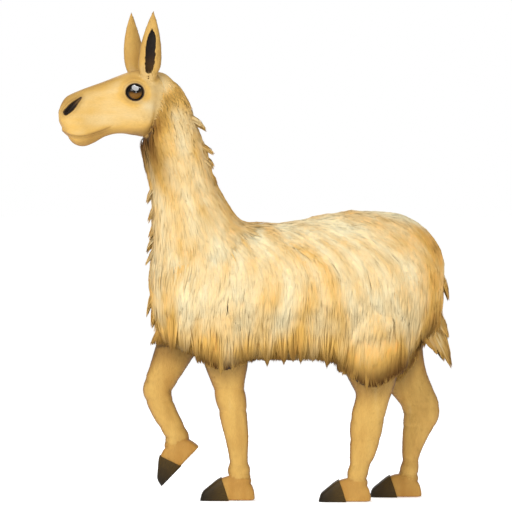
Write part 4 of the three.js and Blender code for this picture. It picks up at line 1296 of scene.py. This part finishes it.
class LlamaEye(bpy.types.PropertyGroup):
    """The eyes' colours."""

    rim: bpy.props.StringProperty(name="Rim", description="Rim and pupil, sRGB hex", default="#080502")
    iris: bpy.props.StringProperty(name="Iris", description="Iris, sRGB hex", default="#4E3202")
    glow: bpy.props.StringProperty(
        name="Glow", description="Lit part of the iris, sRGB hex", default="#8A5A08"
    )


class LlamaStage(bpy.types.PropertyGroup):
    """The studio's camera, light and floor."""

    distance: bpy.props.FloatProperty(
        name="Distance", description="From camera to llama", default=18.0, unit="LENGTH"
    )
    lens: bpy.props.FloatProperty(name="Lens", description="Focal length in mm", default=341.0)
    elevation: bpy.props.FloatProperty(
        name="Elevation", description="Camera above level, degrees", default=1.2
    )
    key: bpy.props.FloatProperty(
        name="Key", description="Power of the key light in watts", default=190.0
    )
    fill: bpy.props.FloatProperty(
        name="Fill", description="Power of the fill light in watts", default=50.0
    )
    sky: bpy.props.FloatProperty(
        name="Sky", description="Strength of the light from all round", default=0.6
    )
    catch: bpy.props.FloatProperty(
        name="Catch light", description="Power of the eyes' lamps in watts", default=170.0
    )
    floor: bpy.props.StringProperty(name="Floor", description="Floor, sRGB hex", default="#F7F7F7")


# ---------------------------------------------------------------- pieces

EYES = {"eye_left": -1, "eye_right": 1}  # each with its side
FLESH_NODES = ["torso", "neck", "tail", "head", *EARS]
for limb in LEGS:
    FLESH_NODES += [f"leg_{limb}_upper", f"leg_{limb}_lower", f"foot_{limb}"]


def shift():
    """From the millimetres of the forms to the frame: the eyeball's middle in the frame, less its own."""
    low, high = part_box("eye_left")
    middle = (np.array(low) + np.array(high)) * 500
    own = on_skull(np.array([[POLL[0] - EYE_U, -EYE_SIDE, EYE_Z]]))[0]
    return middle - own


def moved(mesh):
    """A mesh set from the forms' place to the frame's."""
    co = np.empty(len(mesh.vertices) * 3, np.float32)
    mesh.vertices.foreach_get("co", co)
    co = co.reshape(-1, 3) + (shift() / 1000).astype(np.float32)
    mesh.vertices.foreach_set("co", co.ravel())
    mesh.update()
    return mesh


def settle(name, mesh, material, replaced=()):
    """A finished piece: its material, its body and the nodes it stands for."""
    mesh.materials.append(material)
    piece = add_object(name, moved(mesh))
    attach(piece, "root")
    if replaced:
        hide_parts(*replaced)


def lay_coat(name, skin, rng, material, roots, home, length, lift, lock, pull, width,
             rise=(0, 0.62, 0.9, 1, 0.95), hang=False, stray=1e9, crown=2.0, small=None, small_pull=0.35,
             wave=3.0, tips=None, swell=0.0, mottle=0.1, thick=0.16):
    """One stretch of coat, settled. Its tufts stand over the skin by lift * rise and may hang where the skin
    turns under. pull draws them into locks and small_pull into small ones. crown raises a lock's middle,
    wave bends its tufts sideways, tips draws them to the hem's and swell raises them along the streaks."""
    best = skin.near(roots, home)
    s = np.linspace(0, 1, len(rise))[None]
    lifts = -2 + (lift[:, None] + 2) * np.array(rise)
    path, ups = laid(skin, roots, best, length, lifts, hang)
    # tufts that run off an edge into the air or fold over at a crease are left out
    apart = np.linalg.norm(path[:, -1] - skin.points[nearest(path[:, -1], skin.points)], axis=1)
    step = unit(np.diff(path, axis=1))
    bent = (step[:, 1:] * step[:, :-1]).sum(-1).min(1)
    keep = (apart < lifts[:, -1] + stray) & (bent > 0.1)
    roots, best, path, ups, count = roots[keep], best[keep], path[keep], ups[keep], keep.sum()
    part = np.repeat(skin.part[best], len(rise))
    guide, own = spread(rng, roots, lock)
    chance = rng.random(len(guide))[own]
    apart = np.linalg.norm(roots - roots[guide][own], axis=1) / lock
    path = clumped(path, guide, own, pull)
    crown = np.broadcast_to(crown, keep.shape)[keep]
    path += ups * ((crown * (1 - 2.4 * apart**2).clip(-1, 1))[:, None] * np.sin(np.pi * s * 0.8))[..., None]
    if small:
        guide, own = spread(rng, roots, small, 1)
        path = clumped(path, guide, own, small_pull, 0.3)
        chance = 0.6 * chance + 0.4 * rng.random(len(guide))[own]
    along = unit(np.gradient(path, axis=1))
    across = unit(np.cross(along, ups))
    phase = chance[:, None] * 6.28 + 4.2 * s
    path += across * (wave * s * np.sin(phase))[..., None]
    if tips is not None:
        nearest_tip = np.abs(path[:, -1:, 0] - tips[:, 0]).argmin(1)
        gap = tips[nearest_tip, 0] - path[:, -1, 0]
        near_tip = bell(gap, 0, 17)
        path[..., 0] += ((0.35 + 0.5 * near_tip) * gap)[:, None] * s**3
        path[..., 2] -= ((tips[nearest_tip, 1] + 9) * near_tip - 6)[:, None] * s**3
    # the coat swells and sinks along its streaks, and its normals lean with the slope
    flat, beside_it = path.reshape(-1, 3), across.reshape(-1, 3) * 9
    slope = (streaks(flat + beside_it, part) - streaks(flat - beside_it, part)).reshape(count, -1, 1) / 18
    path += ups * (swell * np.minimum(s * 2, 1) * streaks(flat, part).reshape(count, -1))[..., None]
    ups = unit(ups - across * swell * slope)
    warm, dark = tone_and_painted_shade(path.reshape(-1, 3), ups.reshape(-1, 3), part)
    warm = np.clip(warm.reshape(count, -1) + mottle * (chance - 0.5)[:, None], 0, 1)
    tint = np.stack([warm, dark.reshape(count, -1), np.repeat(rng.random(count)[:, None], len(rise), 1)], -1)
    width = np.broadcast_to(width, keep.shape)[keep] * (0.75 + 0.5 * rng.random(count))
    mesh = tuft_mesh(name, path, ups, width, width * thick, tint, unwrapped(skin, best), 0.93)
    settle(name, mesh, material)


class MESH_OT_llama_skin(bpy.types.Operator):
    """Make the skin that lies under the whole coat"""

    bl_idname = "mesh.llama_skin"
    bl_label = "Skin"

    def execute(self, context):
        skin = MODEL["skin"] = make_skin(1.0)
        mesh = mesh_from("skin", skin.points / 1000, skin.faces)
        warm, dark = tone_and_painted_shade(skin.points, skin.normals, skin.part)
        # painted shade in each ear's hollow: near black, and a little lighter at its lower end, a painted
        # light
        inner = smooth(relaxed((skin.ear[:, None] >= 0) * 1.0, skin.edges, 0.5, 3)[:, 0], 0.25, 0.75)
        dark = mix(dark, mix(1.0, 0.8, smooth(-skin.ear, -0.5, -0.1)), inner)
        set_tint(mesh, [warm, dark, skin.of("head", *EARS), np.ones(len(warm))])
        material = short_material("short_llama_hair", context.scene.llama_wool)
        settle("skin", mesh, material, FLESH_NODES)
        return {"FINISHED"}


class MESH_OT_llama_fleece(bpy.types.Operator):
    """Lay the long coat on the trunk, neck and tail"""

    bl_idname = "mesh.llama_fleece"
    bl_label = "Long coat"

    def execute(self, context):
        skin, wool = MODEL["skin"], context.scene.llama_wool
        material = fleece_material(wool)
        rng = np.random.default_rng(LONG_SEED)
        thin = 1.0
        self.under(skin, rng, material, thin)
        self.trunk(skin, wool, rng, material, thin)
        self.hem(skin, wool, rng, material, thin)
        self.neck(skin, wool, rng, material, thin)
        self.tail(skin, rng, material, thin)
        self.tips(skin, rng, material, thin)
        return {"FINISHED"}

    def depth(self, skin, roots, best):
        """How deep the coat is at roots: half the trunk's coat, or from 16 to 21 mm down a leg's top, so that
        the flank's coat runs over it."""
        leg = is_of(skin.part[best], *LEGS, *TOES)
        deeper = mix(16, 21, smooth(LEG_TOP - roots[:, 2], 0, 160))
        return np.where(leg, deeper, coat_depth(skin.turn[best]))

    def under(self, skin, rng, material, thin):
        """The undercoat: broad flat tufts a fifth of the coat's depth under its surface."""
        neck = skin.of("neck") * smooth(skin.t, 0.22, 0.34)
        legs = skin.of(*LEGS) * (skin.points[:, 2] > skin.hem + 40) * (skin.normals[:, 2] < 0.3)
        count = int(TUFTS["under"] * thin)
        roots, home = scatter(rng, skin, skin.of("trunk") + legs + neck * 1.2, count)
        depth = np.where(skin.of("neck")[home], 21, self.depth(skin, roots, home))
        over = roots[:, 2] - hem_at(roots)
        lay_coat(
            "fleece_under", skin, rng, material, roots, home,
            length=np.minimum(110 * (0.8 + 0.4 * rng.random(count)), np.maximum(over - 20, 25)),
            lift=depth * (0.76 + 0.14 * rng.random(count)), lock=60.0, pull=0.1, width=15.0,
            rise=(0, 0.7, 1, 0.96), hang=True, swell=4.0, thick=0.08,
        )

    def trunk(self, skin, wool, rng, material, thin):
        """The flanks', back's and belly's coat, in five stretches from the shoulder to the rump."""
        legs = skin.of(*LEGS) * (skin.points[:, 2] > skin.hem + 30) * (skin.normals[:, 2] < 0.3)
        count = int(wool.tufts * thin)
        roots, home = scatter(rng, skin, skin.of("trunk") * 1.0 + legs, count)
        _, normal, _, best = skin.under(roots, home)
        depth = self.depth(skin, roots, best)
        top = smooth(normal[:, 2], 0.2, 0.95)
        length = wool.length * 1000 * mix(1.0, 0.8, top) * (0.8 + 0.4 * rng.random(count))
        over = roots[:, 2] - hem_at(roots)
        length = np.where(over < length + 10, np.maximum(over, 30) * (0.85 + 0.2 * rng.random(count)), length)
        cuts = np.quantile(roots[:, 0], [0.2, 0.4, 0.6, 0.8])
        for i, word in enumerate(("shoulder", "girth", "ribs", "flank", "rump")):
            own = np.digitize(roots[:, 0], cuts) == i
            lay_coat(
                f"fleece_{word}", skin, rng, material, roots[own], home[own], length[own],
                lift=depth[own] * (0.84 + 0.18 * rng.random(own.sum())), lock=wool.lock * 1000, pull=0.3,
                width=wool.width * 1000, hang=True, small=22.0, wave=4.0, swell=5.0,
            )

    def hem(self, skin, wool, rng, material, thin):
        """The long tufts that hang from the flanks to the hem. Each moves along s^3 towards the nearest of
        the hem's tips, and hangs lower the nearer to it it is."""
        over = skin.points[:, 2] - skin.hem
        flank = skin.of("trunk", *LEGS) * smooth(over, 50, 90) * smooth(-over, -300, -160)
        count = int(TUFTS["hem"] * thin)
        roots, home = scatter(rng, skin, flank * (np.abs(skin.normals[:, 1]) > 0.3), count)
        over = roots[:, 2] - hem_at(roots)
        depth = self.depth(skin, roots, home)
        for word, own in sides_of(roots):
            amount = own.sum()
            lay_coat(
                f"fleece_hem_{word}", skin, rng, material, roots[own], home[own],
                length=over[own] * (0.82 + 0.2 * rng.random(amount)),
                lift=depth[own] * (0.84 + 0.2 * rng.random(amount)), lock=64.0, pull=0.3,
                width=wool.width * 1000, hang=True, small=20.0, small_pull=0.4, wave=5.0,
                tips=np.array(HEM_TIPS, float), swell=5.0,
            )

    def neck(self, skin, wool, rng, material, thin):
        """The neck's coat, which is short behind the head and grows longer down to the chest."""
        under_jaw = (POLL[0] - off_skull(skin.points)[:, 0] > 30) & (skin.points[:, 2] > 1340)
        neck = skin.of("neck") * smooth(skin.t, 0.05, 0.1) * ~under_jaw
        count = int(TUFTS["neck"] * thin)
        roots, home = scatter(rng, skin, neck * mix(1.5, 1.0, smooth(skin.t, 0.1, 0.5)), count)
        t = skin.t[home]
        length = mix(20, 118, smooth(t, 0.1, 0.7)) * (0.8 + 0.4 * rng.random(count))
        lift = (3 + 20 * smooth(t, 0.14, 0.34)) * (0.8 + 0.24 * rng.random(count))
        width = mix(2.4, wool.width * 1000, smooth(t, 0.12, 0.45))
        for word, own in sides_of(roots):
            lay_coat(
                f"fleece_neck_{word}", skin, rng, material, roots[own], home[own], length[own], lift[own],
                lock=50.0, pull=0.3, width=width[own], stray=8.0, crown=2.0 * smooth(t[own], 0.2, 0.4),
                small=20.0, swell=4.0,
            )

    def tail(self, skin, rng, material, thin):
        """The tail's coat, in locks that end with it."""
        tail = skin.of("tail") * (1 + 1.5 * smooth(skin.t, 0.55, 0.9))
        count = int(TUFTS["tail"] * thin)
        roots, home = scatter(rng, skin, tail, count)
        lay_coat(
            "fleece_tail", skin, rng, material, roots, home,
            length=np.minimum(96, 25 + 370 * (1 - skin.t[home])) * (0.8 + 0.4 * rng.random(count)),
            lift=10.0 + 6 * rng.random(count), lock=36.0, pull=0.7, width=3.8, stray=16.0, swell=2.0,
        )

    def tips(self, skin, rng, material, thin):
        """Locks whose tips stand out: down the nape and the chest, and on the rump and tail.
        A lock's tufts start about its root, 80 mm up the coat's way from the tip, and run on a bent line,
        (1 - s)^2 root + 2 s (1 - s) middle + s^2 tip, drawing together to the tip."""
        tips, outs, sizes = [], [], []
        for x, z, out, size in LOCK_TIPS:
            for y in (-30, 0, 30):
                left = y + 8 * rng.uniform(-1, 1)
                tips.append([x - out * (4 if y else 0), left, z + (12 * rng.uniform(-1, 1) if y else 0)])
                outs.append([out, 0.2 * np.sign(y), 0.0])
                sizes.append(size)
        tips, outs, sizes = np.array(tips, float), unit(np.array(outs)), np.array(sizes)
        back, best = tips.copy(), nearest(tips, skin.points)
        for _ in range(4):
            _, _, way, best = skin.under(back, best)
            back -= way * 22 * sizes[:, None]
        best = nearest(back, skin.points)
        _, normal, way, best = skin.under(skin.points[best], best)
        root = skin.points[best] - 2 * normal
        own = np.repeat(np.arange(len(tips)), max(12, int(80 * thin)))
        count = len(own)
        across = unit(np.cross(way, normal))[own]
        radius = 22 * np.sqrt(rng.random(count)) * sizes[own]
        angle = 2 * np.pi * rng.random(count)
        offset = across * (radius * np.cos(angle))[:, None] + way[own] * (radius * np.sin(angle))[:, None]
        start = root[own] + offset
        _, start_normal, _, best = skin.under(start, best[own])
        stray = rng.normal(0, 1, (count, 3))
        middle = mix(root, tips, 0.55)[own] + offset * 0.8 + normal[own] * 11 + 2.5 * stray
        short = rng.random(count)[:, None] ** 1.5
        end = 1 - 0.55 * short
        ridge = mix(root, tips, 0.55) + normal * 9
        stop = (1 - end) ** 2 * root[own] + 2 * end * (1 - end) * ridge[own] + end**2 * tips[own]
        stop += offset * (0.05 + 0.7 * short) + (0.8 + 2 * short) * stray[:, ::-1]
        s = np.linspace(0, 1, 5)[None, :, None]
        path = (1 - s) ** 2 * start[:, None] + 2 * s * (1 - s) * middle[:, None] + s**2 * stop[:, None]
        tilt = unit(start_normal + 0.35 * rng.normal(0, 1, (count, 3)))
        ups = unit(mix(tilt[:, None], outs[own][:, None], s * 0.4))
        part = np.where(start[:, 0] > 610, PARTS.index("tail"), skin.part[best])
        warm, dark = tone_and_painted_shade(path.reshape(-1, 3), ups.reshape(-1, 3), np.repeat(part, 5))
        chance = rng.random(len(tips))[own]
        warm = np.clip(warm.reshape(count, -1) + 0.12 * (chance - 0.5)[:, None] + 0.16 * s[..., 0] ** 3, 0, 1)
        tint = np.stack([warm, dark.reshape(count, -1), np.repeat(rng.random(count)[:, None], 5, 1)], -1)
        width = 3.4 * (0.75 + 0.5 * rng.random(count))
        mesh = tuft_mesh("fleece_tips", path, ups, width, width * 0.25, tint, unwrapped(skin, best), 0.9)
        settle("fleece_tips", mesh, material)


class MESH_OT_llama_short_coat(bpy.types.Operator):
    """Lay the short coat on the head, ears and legs"""

    bl_idname = "mesh.llama_short_coat"
    bl_label = "Short coat"

    def execute(self, context):
        material = short_material("short_llama_tufts", context.scene.llama_wool)
        rng = np.random.default_rng(SHORT_SEED)
        thin = 1.0
        self.legs(MODEL["skin"], rng, material, int(TUFTS["legs"] * thin))
        self.head(MODEL["skin"], rng, material, int(TUFTS["head"] * thin))
        return {"FINISHED"}

    def legs(self, skin, rng, material, count):
        """Hair 17 mm long below the hem and on the feet."""
        weight = skin.of(*LEGS) * (skin.points[:, 2] < skin.hem + 40) * 1.0 + skin.of(*TOES) * 0.6
        roots, home = scatter(rng, skin, weight, count)
        lay_coat(
            "short_coat_legs", skin, rng, material, roots, home, length=17 * (0.7 + 0.6 * rng.random(count)),
            lift=np.full(count, 1.1), lock=30.0, pull=0.2, width=1.8, rise=(0, 0.6, 1),
            stray=4.0, crown=0.2, wave=0.6, mottle=0.06,
        )

    def head(self, skin, rng, material, count):
        """Hair from 5 mm long on the muzzle to 17 mm behind the cheeks and between the ears, none about the
        eyes, under the jaw's rear and in the ears' hollows."""
        local = off_skull(skin.points)
        u = POLL[0] - local[:, 0]
        bare = np.hypot((u - EYE_U) / 40, (local[:, 2] - EYE_Z) / 37) < 1
        head = skin.of("head") & ~(bare & (np.abs(local[:, 1]) > 40))
        head = head * (1 - smooth(-skin.normals[:, 2], 0.1, 0.5) * smooth(-u, -110, -60))
        ears = skin.of(*EARS) & (skin.ear < 0)
        _, dark = tone_and_painted_shade(skin.points, skin.normals, skin.part)
        weight = (head * mix(1.0, 0.7, smooth(u, 150, 300)) + ears * 0.9) * (dark < 0.6)
        roots, home = scatter(rng, skin, weight, count)
        from_poll = POLL[0] - off_skull(roots)[:, 0]
        length = mix(5, 17, smooth(-from_poll, -210, -10)) * (0.7 + 0.6 * rng.random(count))
        long = smooth(length, 5, 17)
        lay_coat(
            "short_coat_head", skin, rng, material, roots, home, length, lift=mix(0.4, 1.8, long), lock=24.0,
            pull=0.2, width=mix(1.2, 1.9, long), rise=(0, 0.6, 1), stray=2.5, crown=0.1,
            wave=0.4, mottle=0.05,
        )


class MESH_OT_llama_eyes(bpy.types.Operator):
    """Make the two eyeballs"""

    bl_idname = "mesh.llama_eyes"
    bl_label = "Eyes"

    def execute(self, context):
        material = eye_material(context.scene.llama_eye)
        for name, side in EYES.items():
            # rings at angles a from the eye's axis; the cornea swells by 2 % about it
            a, b = grid(np.linspace(0.0, np.pi, 60), 96)
            r = EYE_RADIUS * (1 + 0.02 * bell(a, 0, 0.6))
            x, z = r * np.sin(a) * np.cos(b), r * np.sin(a) * np.sin(b)
            y = side * r * np.cos(a) + 0 * b
            ball = np.stack([x, y, z], -1) + np.array([POLL[0] - EYE_U, EYE_SIDE * side, EYE_Z])
            points, faces = shell(on_skull(ball))
            pupil = 1 - smooth(np.hypot(x / 14, (z - 4) / 8), 0.7, 1.2)
            rim = smooth(a, 0.62, 0.86) + 0 * b
            shade = smooth(z / EYE_RADIUS, -0.35, 0.2)
            lit = np.clip((1 - pupil) * (1 - rim) * (1 - shade), 0, 1)
            mesh = mesh_from(name, points / 1000, outward(points - points.mean(0), faces))
            around, away = b / (2 * np.pi) + 0 * a, a / np.pi + 0 * b
            set_tint(mesh, [capped(v) for v in (lit, around, away, 1 + 0 * x)])
            settle(f"glossy_{name}", mesh, material, [name])
        return {"FINISHED"}


class MESH_OT_llama_nails(bpy.types.Operator):
    """Make the eight nails"""

    bl_idname = "mesh.llama_nails"
    bl_label = "Nails"

    def execute(self, context):
        material = nail_material(context.scene.llama_horn)
        for name in LEGS:
            for word in ("inner", "outer"):
                low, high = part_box(f"nail_{name}_{word}")
                side = -1 if low[1] + high[1] < 2 * FEET[name][0][1] / 1000 else 1
                mesh = self.nail(name, side)
                settle(f"horn_{name}_{word}", mesh, material, [f"nail_{name}_{word}"])
        return {"FINISHED"}

    def nail(self, name, side):
        """The toe's outline 1.5 mm out, from the tip to a leaning plane, rounded in at its rear edge: for
        each turn the share where the toe crosses the plane is read off, and rows run up to it and back
        inside."""
        t, turn = grid(np.linspace(0, 0.8, 200), 48)
        lean = np.radians(NAIL_LEAN)
        toe = TOE.at(t, turn, 1.5)
        past = (toe[..., 0] - NAIL_BACK) * np.cos(lean) + (toe[..., 2].clip(0) - 38) * np.sin(lean) > 0
        cut = t[past.argmax(0), 0]
        s = np.concatenate([np.sin(np.linspace(0, np.pi / 2, 26)), [1.012, 1.016, 1.01, 0.98, 0.9]])[:, None]
        lift = np.concatenate([mix(1.2, 2.2, np.linspace(0, 1, 26)), [1.6, 0.4, -1.5, -6, -12]])[:, None]
        points = TOE.at(np.maximum(s * cut, 0.0005), turn, lift)
        points[..., 2] = np.maximum(points[..., 2], 0.0)
        points[..., 1] += side * TOE_SIDE
        points, faces = shell(on_foot(points, name))
        mesh = mesh_from(f"horn_{name}", points / 1000, outward(points - points.mean(0), faces))
        share, around = np.broadcast_arrays(np.clip(s, 0, 1), np.abs(turn / np.pi - 1))
        set_tint(mesh, [capped(v) for v in (share, around, 0 * share, 1 + 0 * share)])
        return mesh


class SCENE_OT_llama_stage(bpy.types.Operator):
    """Set the camera, the lights and the floor"""

    bl_idname = "scene.llama_stage"
    bl_label = "Studio"

    def execute(self, context):
        stage, scene = context.scene.llama_stage, context.scene
        target = Vector((0, 0, 0.9036))  # half the animal's height, a little raised
        rise = np.radians(stage.elevation)
        camera = bpy.data.objects.new("camera", bpy.data.cameras.new("camera"))
        camera.data.lens = stage.lens
        camera.data.sensor_width = 36.0
        camera.data.clip_end = 200.0
        camera.data.dof.use_dof = False
        camera.location = target + Vector((0, -stage.distance * np.cos(rise), stage.distance * np.sin(rise)))
        camera.rotation_euler = (target - camera.location).to_track_quat("-Z", "Y").to_euler()
        scene.collection.objects.link(camera)
        scene.camera = camera
        # a round key light high before the animal's left flank, a broad fill, and a soft light behind:
        # place, what it shines on, width in metres, and power
        middle = Vector((0, 0, 0.9))
        self.lamp("key", (-2.2, -4.4, 4.2), middle, 3.0, stage.key)
        self.lamp("fill", (2.6, -5.8, 1.4), middle, 4.0, stage.fill)
        self.lamp("beyond", (-0.9, 4.6, 4.0), middle, 3.0, stage.key * 0.6)
        # a broad lamp high before each eye, for the eyes alone
        eyes = bpy.data.collections.new("eyes")
        for name, side in EYES.items():
            eyes.objects.link(bpy.data.objects[f"glossy_{name}"])
            low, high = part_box(name)
            middle = (Vector(low) + Vector(high)) / 2
            place = middle + Vector((0.32, 0.48 * side, 0.81))
            lamp = self.lamp(f"catch_{name}", place, middle, 1.5, stage.catch)
            lamp.visible_camera = False
            lamp.visible_diffuse = False
            lamp.light_linking.receiver_collection = eyes
        world = bpy.data.worlds.new("studio")
        world.use_nodes = True
        tree = world.node_tree
        # the camera sees white all round, whatever light it gives
        ray = add(tree, "LightPath", {}).outputs["Is Camera Ray"]
        strength = add(tree, "MapRange", {"Value": ray, 3: stage.sky, 4: 1.0})
        fill(tree, tree.nodes["Background"], {"Color": (1, 1, 1, 1), "Strength": strength})
        scene.world = world
        scene.view_settings.view_transform = "Standard"
        self.floor(stage)
        return {"FINISHED"}

    def lamp(self, name, place, target, size, power):
        """A round lamp at a place, turned to its target."""
        lamp = bpy.data.objects.new(name, bpy.data.lights.new(name, "AREA"))
        lamp.data.shape = "DISK"
        lamp.data.size = size
        lamp.data.energy = power
        lamp.location = place
        lamp.rotation_euler = (target - lamp.location).to_track_quat("-Z", "Y").to_euler()
        bpy.context.scene.collection.objects.link(lamp)
        return lamp

    def floor(self, stage):
        """A level disc of 80 m radius."""
        turn = np.linspace(0, 2 * np.pi, 96, endpoint=False)
        points = 80 * np.stack([np.cos(turn), np.sin(turn), 0 * turn], -1)
        mesh = mesh_from("floor", points, np.arange(96)[None])
        material, _, _ = new_material("matt_studio_paper", {
            "Roughness": 0.95, "Base Color": linear(stage.floor), "Emission Color": linear(stage.floor),
            "Emission Strength": 0.5, "Specular IOR Level": 0.1,
        })
        mesh.materials.append(material)
        add_object("floor", mesh)


class VIEW3D_PT_llama(bpy.types.Panel):
    """The llama's pieces, in the order they are made"""

    bl_idname = "VIEW3D_PT_llama"
    bl_label = "Walking Llama"
    bl_space_type = "VIEW_3D"
    bl_region_type = "UI"
    bl_category = "Llama"

    def draw(self, context):
        for operator in OPERATORS:
            self.layout.operator(operator.bl_idname)
        for group in GROUPS:
            settings = getattr(context.scene, group)
            for name in GROUPS[group].__annotations__:
                self.layout.prop(settings, name)


OPERATORS = [
    MESH_OT_llama_skin,
    MESH_OT_llama_fleece,
    MESH_OT_llama_short_coat,
    MESH_OT_llama_eyes,
    MESH_OT_llama_nails,
    SCENE_OT_llama_stage,
]
GROUPS = {
    "llama_wool": LlamaWool,
    "llama_horn": LlamaHorn,
    "llama_eye": LlamaEye,
    "llama_stage": LlamaStage,
}


def register():
    for kind in (*GROUPS.values(), *OPERATORS, VIEW3D_PT_llama):
        bpy.utils.register_class(kind)
    for name, group in GROUPS.items():
        setattr(bpy.types.Scene, name, bpy.props.PointerProperty(type=group))


def unregister():
    for name in GROUPS:
        delattr(bpy.types.Scene, name)
    for kind in reversed((*GROUPS.values(), *OPERATORS, VIEW3D_PT_llama)):
        bpy.utils.unregister_class(kind)


def main():
    register()
    bpy.ops.mesh.llama_skin()
    bpy.ops.mesh.llama_fleece()
    bpy.ops.mesh.llama_short_coat()
    bpy.ops.mesh.llama_eyes()
    bpy.ops.mesh.llama_nails()
    bpy.ops.scene.llama_stage()


if __name__ == "__main__":
    main()
